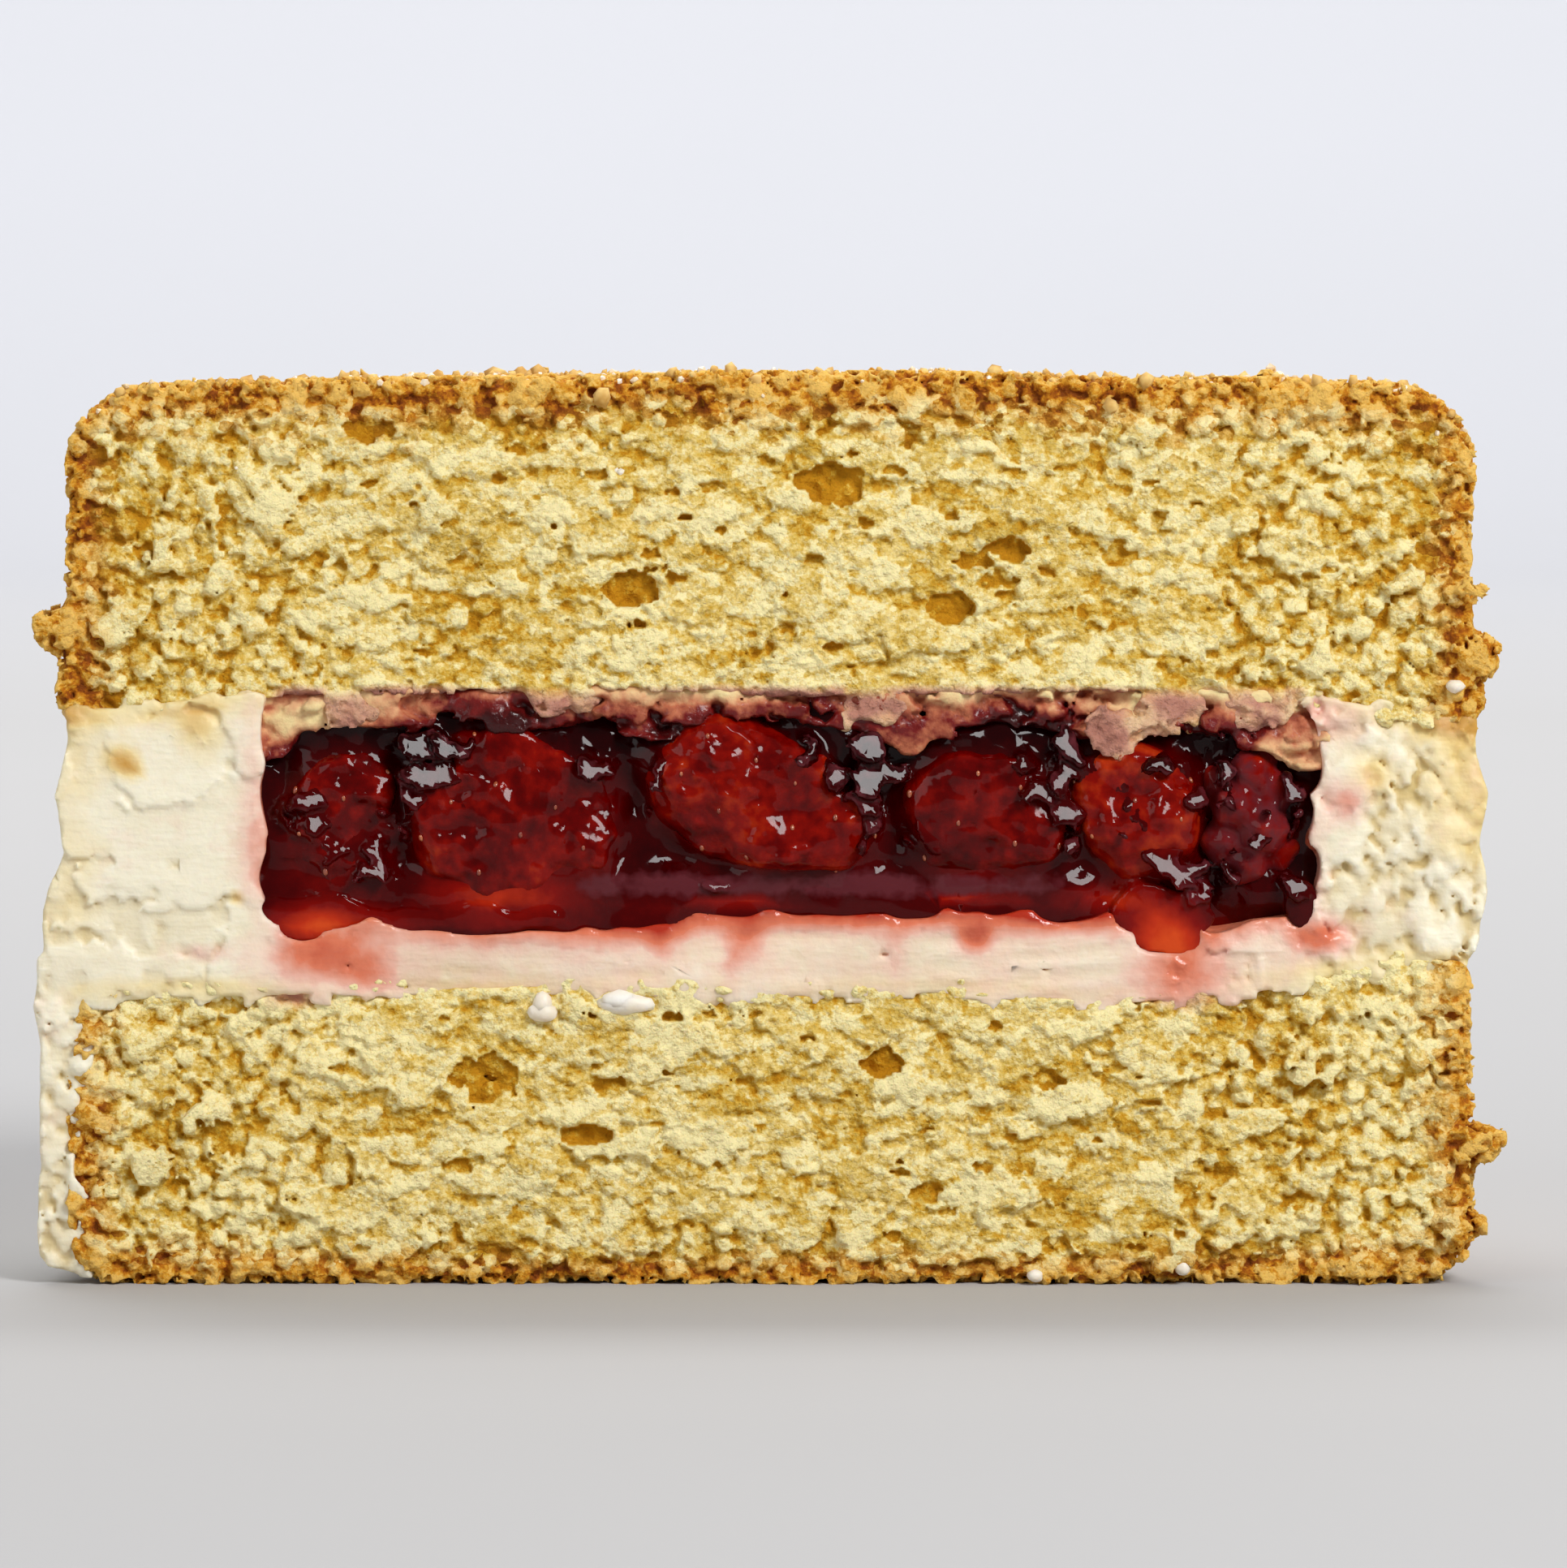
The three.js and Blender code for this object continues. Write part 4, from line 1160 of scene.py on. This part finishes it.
def webs(block):
    """Smooth webs of gel that face half-way between the camera and the window, and so shine."""
    field = np.full(block.count, NOTHING, np.float32)
    ragged = 0.35 * rough(block, 0.9, 98, (1, 3, 1)) + 0.05
    for x, z, wide, tall, behind in WEBS:
        right, up = block.x - x, block.z - z
        outline = (np.hypot(right / wide, up / tall) - 1) * wide + ragged
        plane = CUT + behind + 0.30 * right + 0.40 * up - block.y + 0.02 * lumps(block, 0.6, 99)
        field = np.minimum(field, np.maximum(np.maximum(outline, plane), block.y - CUT - 2))
    return field


def gel_front(sheet):
    """How far the gel has slumped back from the cut, which is least in the film at the bottom."""
    x, z = sheet.x[:, 0], sheet.z[:, 0]
    broad, fine = lumps(sheet, 2.8, 95, (1.2, 1, 0.8))[:, 0], lumps(sheet, 0.9, 96)[:, 0]
    folds = 1.15 + 0.3 * broad + 0.1 * fine + 0.3 * ease(x, 21.8, 23)
    film = ease(-z, -22.4, -20.6) * ease(-x, -19, -15)
    thin = 0.35 + 0.08 * lumps(sheet, 1.6, 97)[:, 0]
    return folds + (thin - folds) * 0.9 * film + 0.2 * ease(z, 28.3, 30)


def jam_shape(block):
    raspberry = block.distance("raspberry")
    fruit = np.minimum.reduce([fruit_field(block, node) for node in FRUITS]) + 0.15
    field = block.squared_off(block.blurred(pool(block), 0.3) - 1.1, JAM_LEVELLED)
    if block.steps[1][0] < CUT:
        field = np.maximum(field, CUT + gel_front(block.sheet())[:, None] - block.y)
        field = np.minimum(field, np.maximum(spilled(block), CUT + 0.12 - block.y))
    field = blend(blend(field, fruit, 1.1), raspberry + 0.25, 0.5)
    if block.steps[1][0] < CUT:
        shining = webs(block)
        field = blend(field, shining, 0.4)

    def read(points):
        x, y, z = points.T
        # Painted glow and shade: orange glow low down, in the orange spots and near the fruit, and
        # painted shade darker toward the top.
        glow = 0.1 - 0.2 * ease(z, 25, 29) + 0.12 * ease(-z, -22.5, -19.5)
        glow += spots(x, z, ORANGE_POOLS)
        glow += 0.3 * np.exp(-np.abs(block.sample(fruit, points)) / 0.5)
        # A painted reflection: a lilac-grey band low in the gel, and the same tint on the shining
        # webs.
        veil = 0.8 * ease(x, -12, -8) * ease(-x, -17, -13) * np.exp(-(((z - 20.9) / 0.7) ** 2))
        if block.steps[1][0] < CUT:
            veil += 0.6 * ease(-block.sample(shining, points), -0.03, 0.02) * (y < CUT + 1.2)
        return {"glow": glow, "veil": veil}

    return field, read


front_and_back("jam_gel", "jam", JAM_FINE, JAM_COARSE, jam_shape, jam_finish)


# %% Raspberry mesh
def add_raspberry():
    low, high = corners("raspberry")
    block = Block(low - 1, high + 1, RASPBERRY_PITCH)
    field = block.blurred(block.distance("raspberry"), 0.18) - 0.3
    points, quads = skin_near_cut(block, field)
    # Painted shade between the drupelets and painted light on their tops, with a steady painted
    # reflection tint.
    glow = 0.5 + 0.6 * block.sample(block.blurred(field, 0.5), points)
    looks = {"glow": glow, "veil": np.full_like(glow, 0.5)}
    piece = add_mesh("raspberry_drupelets", points, quads, jam_finish, looks)
    attach(piece, "raspberry")


add_raspberry()

# %% [markdown]
# ## Soaked smear above the jam
# Where the upper sponge was pressed onto the jam, a thin smear of cream and wet crumb has been
# squeezed along the join, pale in some places and dark with jam in others.

# %% Smear material and mesh
def make_soaked_finish():
    soaked = Finish("soaked_crumb")
    wet = soaked.shake(soaked.shake(soaked.stored("wet"), 1.3, 0.9, 3.0), 0.3, 0.6, 3.0)
    colour = soaked.ramp(
        wet,
        (0.0, screen(232, 208, 152)),
        (0.3, screen(216, 164, 120)),
        (0.5, screen(182, 104, 72)),
        (0.7, screen(112, 20, 18)),
        (1.0, screen(56, 2, 3)),
    )
    soaked.set(
        Base_Color=colour,
        Roughness=soaked.level(wet, 0.3, 0.8, 0.75, 0.3),
        Normal=soaked.bump(soaked.grain(0.25, 3.0, 0.6), 0.12),
        Subsurface_Weight=0.15,
        Subsurface_Radius=(1.0, 0.5, 0.3),
        Subsurface_Scale=0.5 * MM,
        Specular_IOR_Level=0.2,
        Coat_Weight=soaked.level(wet, 0.4, 0.8, 0.0, 0.9),
        Coat_Roughness=0.12,
        Coat_IOR=1.26,
    )
    return soaked.material


JOIN = 30.2  # about how high the upper sponge meets the jam
SMEAR_PITCH = 0.19
PALE_LUMPS = [
    (17.6, 28.6, 1.4, 1.6, -0.1), (20.7, 30.3, 1.9, 1.2, -0.2), (14.2, 31.0, 1.8, 0.9, -0.2),
    (5.5, 30.2, 2.0, 0.9, -0.2),
]


def smear_depth(sheet, z):
    """How far the torn flakes of the smear lie behind the cut."""
    depth = np.full((sheet.count[0], sheet.count[2]), 1.0, np.float32)
    for size, seed, cover in ((2.6, 104, 0.5), (1.3, 105, 0.6), (0.7, 106, 0.7)):
        flakes = scattered(sheet, size, (1.3, 0.8), seed, cover, 0.0, 0.9, 0.2, 0.3)[0]
        depth = np.minimum(depth, flakes)
    return depth + 0.5 * ease(z, 30.9, 31.5)


def smear_wetness(block, points):
    """How wet with jam the smear is: most at its lower edge, and least over the pale lumps. It is
    also darker further behind the cut, which is painted shade in the smear's recesses.
    """
    x, y, z = points.T
    fall = 0.25 - 0.2 * ease(x, 23, 27) - 0.1 * ease(-x, 22, 25)
    dry = 0.2 * ease(x, 6, 10) + 0.12 * ease(x, 21, 24) - 0.04 - spots(x, z, PALE_LUMPS)
    patches = block.sample(lumps(block, 3.0, 109, (1.6, 1, 0.6)), points)
    return 0.45 - dry + 0.25 * patches - fall * (z - 30.3) + 0.25 * (y - CUT - 0.4)


def add_smear():
    low = [JAM_LEFT - 1.8, CUT - 1.2, 26.8]
    block = Block(low, [JAM_RIGHT + 1.8, CUT + 3, 32.6], SMEAR_PITCH)
    sheet = block.sheet()
    x, z = sheet.x[:, 0], sheet.z[:, 0]
    level = JOIN + 0.3 * lumps(sheet, 4, 101)[:, 0].mean(axis=1, keepdims=True)
    half = 0.95 + 0.5 * rough(sheet, 2.6, 103, (1.2, 1, 1))[:, 0]
    at_right, at_left = ease(x, 23.5, 28.5), ease(-x, 22.5, 26.5)
    half = half + 2.3 * at_right + 1.5 * at_left + 0.5 * ease(x, 6, 9) * ease(-x, -18, -15)
    ends = np.maximum(JAM_LEFT - 0.9 - x, x - JAM_RIGHT - 0.9)
    outline = np.maximum(np.maximum(level - half - 0.4 * ease(x, 16, 24) - z, z - 32.2), ends)
    outline = outline[:, None] + 0.12 * rough(block, 0.6, 107, octaves=2)
    field = np.maximum(outline, CUT + smear_depth(sheet, z)[:, None] - block.y)
    field = np.maximum(field, block.y - CUT - 2.4)
    points, quads = skin_of(block, field, least=0.02)
    looks = {"wet": smear_wetness(block, points)}
    attach(add_mesh("soaked_smear", points, quads, make_soaked_finish(), looks))


add_smear()

# %% [markdown]
# ## Seeds, sugar, crumbs and dabs
# Small things are real meshes at their true size. Each kind is one piece: a small ball is turned,
# stretched and dented differently for every one. Sugar and crumbs lie on the top, where a ray
# dropped from above finds the crust, and the seeds lie on the fruit at spread-out points.

# %% Small things
def ball(rounds):
    """The points and faces of a ball of triangles, which are split `rounds` - 1 times."""
    made = bmesh.new()
    bmesh.ops.create_icosphere(made, subdivisions=rounds, radius=1.0)
    points = np.array([vertex.co for vertex in made.verts])
    faces = np.array([[vertex.index for vertex in face.verts] for face in made.faces])
    made.free()
    return points, faces


def add_bits(
    name, places, sizes, material, seed, rounds=1, dents=0.25, along=None, smooth=True
):
    """Many small lumps as one piece, each `sizes` across, its thin side facing `along`."""
    rng = np.random.default_rng(seed)
    shape, faces = ball(rounds)
    points = []
    for n, place in enumerate(places):
        own = shape * (1 + dents * rng.uniform(-1, 1, (len(shape), 1))) * sizes[n] / 2
        if along is None:
            turn = Euler(rng.uniform(0, 6.3, 3)).to_matrix()
        else:
            turn = Vector(along[n]).to_track_quat("Z", "Y").to_matrix()
        points.append(own @ np.array(turn).T + place)
    count = len(shape)
    all_faces = np.vstack([faces + count * n for n in range(len(places))])
    attach(add_mesh(name, np.vstack(points), all_faces, material, smooth=smooth))


def plain_finish(name, colour, other, size, roughness, coat=0.0):
    """A finish that wanders between two colours over lumps of `size` millimetres."""
    made = Finish(name)
    made.set(
        Base_Color=made.ramp(made.grain(size, 2.0), (0.35, colour), (0.65, other)),
        Roughness=roughness,
        Subsurface_Weight=0.2,
        Subsurface_Radius=(1.0, 0.7, 0.4),
        Subsurface_Scale=0.3 * MM,
        Coat_Weight=coat,
        Normal=made.bump(made.grain(0.15, 1.0), 0.03),
    )
    return made.material


# %% Seeds on the fruit
def spread_out(points, spacing, seed):
    """Indices of points picked in random order, none nearer than `spacing` to another."""
    picked = []
    for n in np.random.default_rng(seed).permutation(len(points)):
        if all(np.sum((points[n] - points[m]) ** 2) > spacing**2 for m in picked):
            picked.append(n)
    return picked


def add_seeds():
    places, normals = [], []
    for node in FRUITS:
        mesh = bpy.data.objects[f"{node}_flesh"].data
        points = np.array([vertex.co for vertex in mesh.vertices]) / MM
        outward = np.array([vertex.normal for vertex in mesh.vertices])
        shown = (outward[:, 1] < -0.25) & (points[:, 1] < CUT + 1.8)
        points, outward = points[shown], outward[shown]
        for n in spread_out(points, 2.3, 5):
            places.append(points[n] + 0.02 * outward[n])
            normals.append(outward[n])
    ambers = screen(128, 46, 22), screen(186, 104, 62)
    amber = plain_finish("strawberry_seed", *ambers, 0.6, 0.3, 1.0)
    varied = np.random.default_rng(8).uniform(0.7, 1.3, (len(places), 1))
    sizes = np.array([0.23, 0.34, 0.15]) * varied
    add_bits("strawberry_seeds", places, sizes, amber, 6, 2, 0.04, normals)


add_seeds()


# %% Sugar, crumbs and dabs of cream
TOP_FROM = 42  # a ray that meets the cake lower than this has missed the top
GRAINS, CRUMBS = 900, 700  # how many lie on the top


def crust_points(count, seed):
    """Random places on the top crust."""
    rng = np.random.default_rng(seed)
    names = [piece.name for piece in bpy.data.objects if piece.name.startswith("upper_sponge")]
    points, faces, start = [], [], 0
    for name in names:
        mesh = bpy.data.objects[name].data
        own = np.empty(3 * len(mesh.vertices), np.float32)
        mesh.vertices.foreach_get("co", own)
        corner = np.empty(len(mesh.loops), np.int32)
        mesh.loops.foreach_get("vertex_index", corner)
        faces.append(corner.reshape(-1, 3) + start)
        points.append(own.reshape(-1, 3) / MM)
        start += len(mesh.vertices)
    tree = BVHTree.FromPolygons(np.vstack(points).tolist(), np.vstack(faces).tolist())
    found = []
    while len(found) < count:
        radius, angle = (CAKE_RADIUS - 0.6) * np.sqrt(rng.random()), np.pi * rng.random()
        above = Vector((radius * np.cos(angle), CUT + radius * np.sin(angle), 60))
        hit = tree.ray_cast(above, Vector((0, 0, -1)))
        if hit[0] is not None and hit[0].z > TOP_FROM:
            found.append(np.array(hit[0]))
    return np.array(found)


sugar = plain_finish("sugar", screen(226, 196, 150), screen(246, 236, 218), 0.5, 0.25)
crumb_bits = plain_finish("loose_crumb", screen(196, 146, 66), screen(232, 196, 120), 0.4, 0.85)
rng = np.random.default_rng(31)
places = crust_points(GRAINS, 32)
stretches = rng.uniform(0.7, 1.2, (GRAINS, 3))
sizes = stretches * np.clip(rng.lognormal(np.log(0.36), 0.3, (GRAINS, 1)), 0.2, 0.65)
add_bits("sugar_grains", places, sizes, sugar, 33, 1, 0.2, smooth=False)
places = crust_points(CRUMBS, 34)
stretches = rng.uniform(0.7, 1.3, (CRUMBS, 3))
sizes = stretches * np.clip(rng.lognormal(np.log(0.5), 0.35, (CRUMBS, 1)), 0.25, 1.1)
add_bits("loose_crumbs", places, sizes, crumb_bits, 35, 1, 0.3)

DABS = [
    (-11.9, 14.3, 1.7, 1.1), (-11.9, 14.7, 1.0, 1.3), (-7.6, 14.7, 3.0, 1.1),
    (-7.9, 14.9, 2.1, 1.1), (35.6, 31.3, 1.0, 0.7), (13.8, 0.5, 0.9, 0.7), (21.5, 0.9, 0.8, 0.8),
]
places = [(x, CUT - 0.1, z) for x, z, _, _ in DABS]
sizes = np.array([(wide, 1.0, tall) for _, _, wide, tall in DABS])
dab_finish = plain_finish("cream_dab", screen(236, 222, 200), screen(246, 239, 226), 0.8, 0.5)
upright = [(0, 0, 1)] * len(DABS)
add_bits("cream_dabs", places, sizes, dab_finish, 36, 2, 0.12, upright)

# %% [markdown]
# ## Table, light and camera
# The cake stands on a pale sweep, a floor that curves up into a backdrop, its colour painted a
# little paler toward the backdrop, as painted light. The strongest light is a window up in front
# to the right, whose reflections are the grey shines on the jam. A dim one overhead lays the soft
# shadow in front, and a fill from the left and pale light all round keep the other shadows open.

# %% Stage
def make_stage():
    """A pale floor that curves up into a backdrop, far behind the cake."""
    ground = Finish("pale_ground")
    parts = ground.node("ShaderNodeSeparateXYZ")
    ground.feed(parts.inputs[0], ground.place)
    # The floor's colour is painted paler far back and up the backdrop, a painted light.
    far = ground.shake(ground.level(parts.outputs["Y"], 0.6, 1.5), 60, 0.1)
    ground.set(
        Base_Color=ground.mix(far, screen(183, 182, 182), screen(200, 201, 206)),
        Roughness=0.9,
        Specular_IOR_Level=0.1,
    )
    across, front = 3000.0, -1200.0
    flat_end, radius, top = 1200.0, 500.0, 1500.0
    turn = np.linspace(-np.pi / 2, 0, 17)
    profile = [(front, 0.0), (-300.0, 0.0), (300.0, 0.0), (flat_end, 0.0)]
    profile += [(flat_end + radius * np.cos(a), radius + radius * np.sin(a)) for a in turn[1:]]
    profile += [(flat_end + radius, top)]
    points = np.array([(side * across, y, z) for y, z in profile for side in (-1, 1)])
    faces = np.array([(2 * i, 2 * i + 1, 2 * i + 3, 2 * i + 2) for i in range(len(profile) - 1)])
    add_mesh("ground", points, faces, ground.material)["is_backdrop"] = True


make_stage()


# %% Lights and world
def add_light(name, place, aim, size, brightness):
    """A soft square light of `size` millimetres at `place`, facing `aim`."""
    light = bpy.data.lights.new(name, "AREA")
    light.size = size * MM
    light.energy = brightness * np.pi * (size * MM) ** 2
    lamp = bpy.data.objects.new(name, light)
    lamp.location = Vector(place) * MM
    lamp.rotation_euler = (Vector(aim) - Vector(place)).to_track_quat("-Z", "Y").to_euler()
    bpy.context.scene.collection.objects.link(lamp)


add_light("window", (350, -470, 450), (0, CUT, 25), 250, 22.0)
add_light("overhead", (-30, 230, 560), (0, 0, 20), 400, 2.2)
add_light("left_fill", (-620, -430, 330), (0, CUT, 25), 500, 1.9)
add_light("backdrop_light", (0, 700, 1300), (0, 1600, 500), 1400, 4.6)

world = bpy.data.worlds.new("studio")
bpy.context.scene.world = world
world.use_nodes = True
world.node_tree.nodes["Background"].inputs["Color"].default_value = (0.97, 0.98, 1.0, 1)
world.node_tree.nodes["Background"].inputs["Strength"].default_value = 0.2
bpy.context.scene.view_settings.view_transform = "Standard"


# %% Camera
def add_camera():
    """A long lens, level with the cake's top, that sees the cut face dead-on."""
    away, height, aim = 420.0, 50.0, Vector((0.66, CUT, 26.2))
    frame_width, sensor = 81.6, 36.0
    place = Vector((aim.x, CUT - away, height))
    data = bpy.data.cameras.new("camera")
    data.sensor_width = sensor
    data.lens = sensor * (aim - place).length / frame_width
    data.clip_start, data.clip_end = 0.01, 20
    camera = bpy.data.objects.new("camera", data)
    camera.location = place * MM
    camera.rotation_euler = (aim - place).to_track_quat("-Z", "Y").to_euler()
    bpy.context.scene.collection.objects.link(camera)
    bpy.context.scene.camera = camera
    print("lens", round(data.lens), "mm")


add_camera()

# %% Finish
sizes = {"cad": cad_box, "visual": [list(corner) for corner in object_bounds()]}
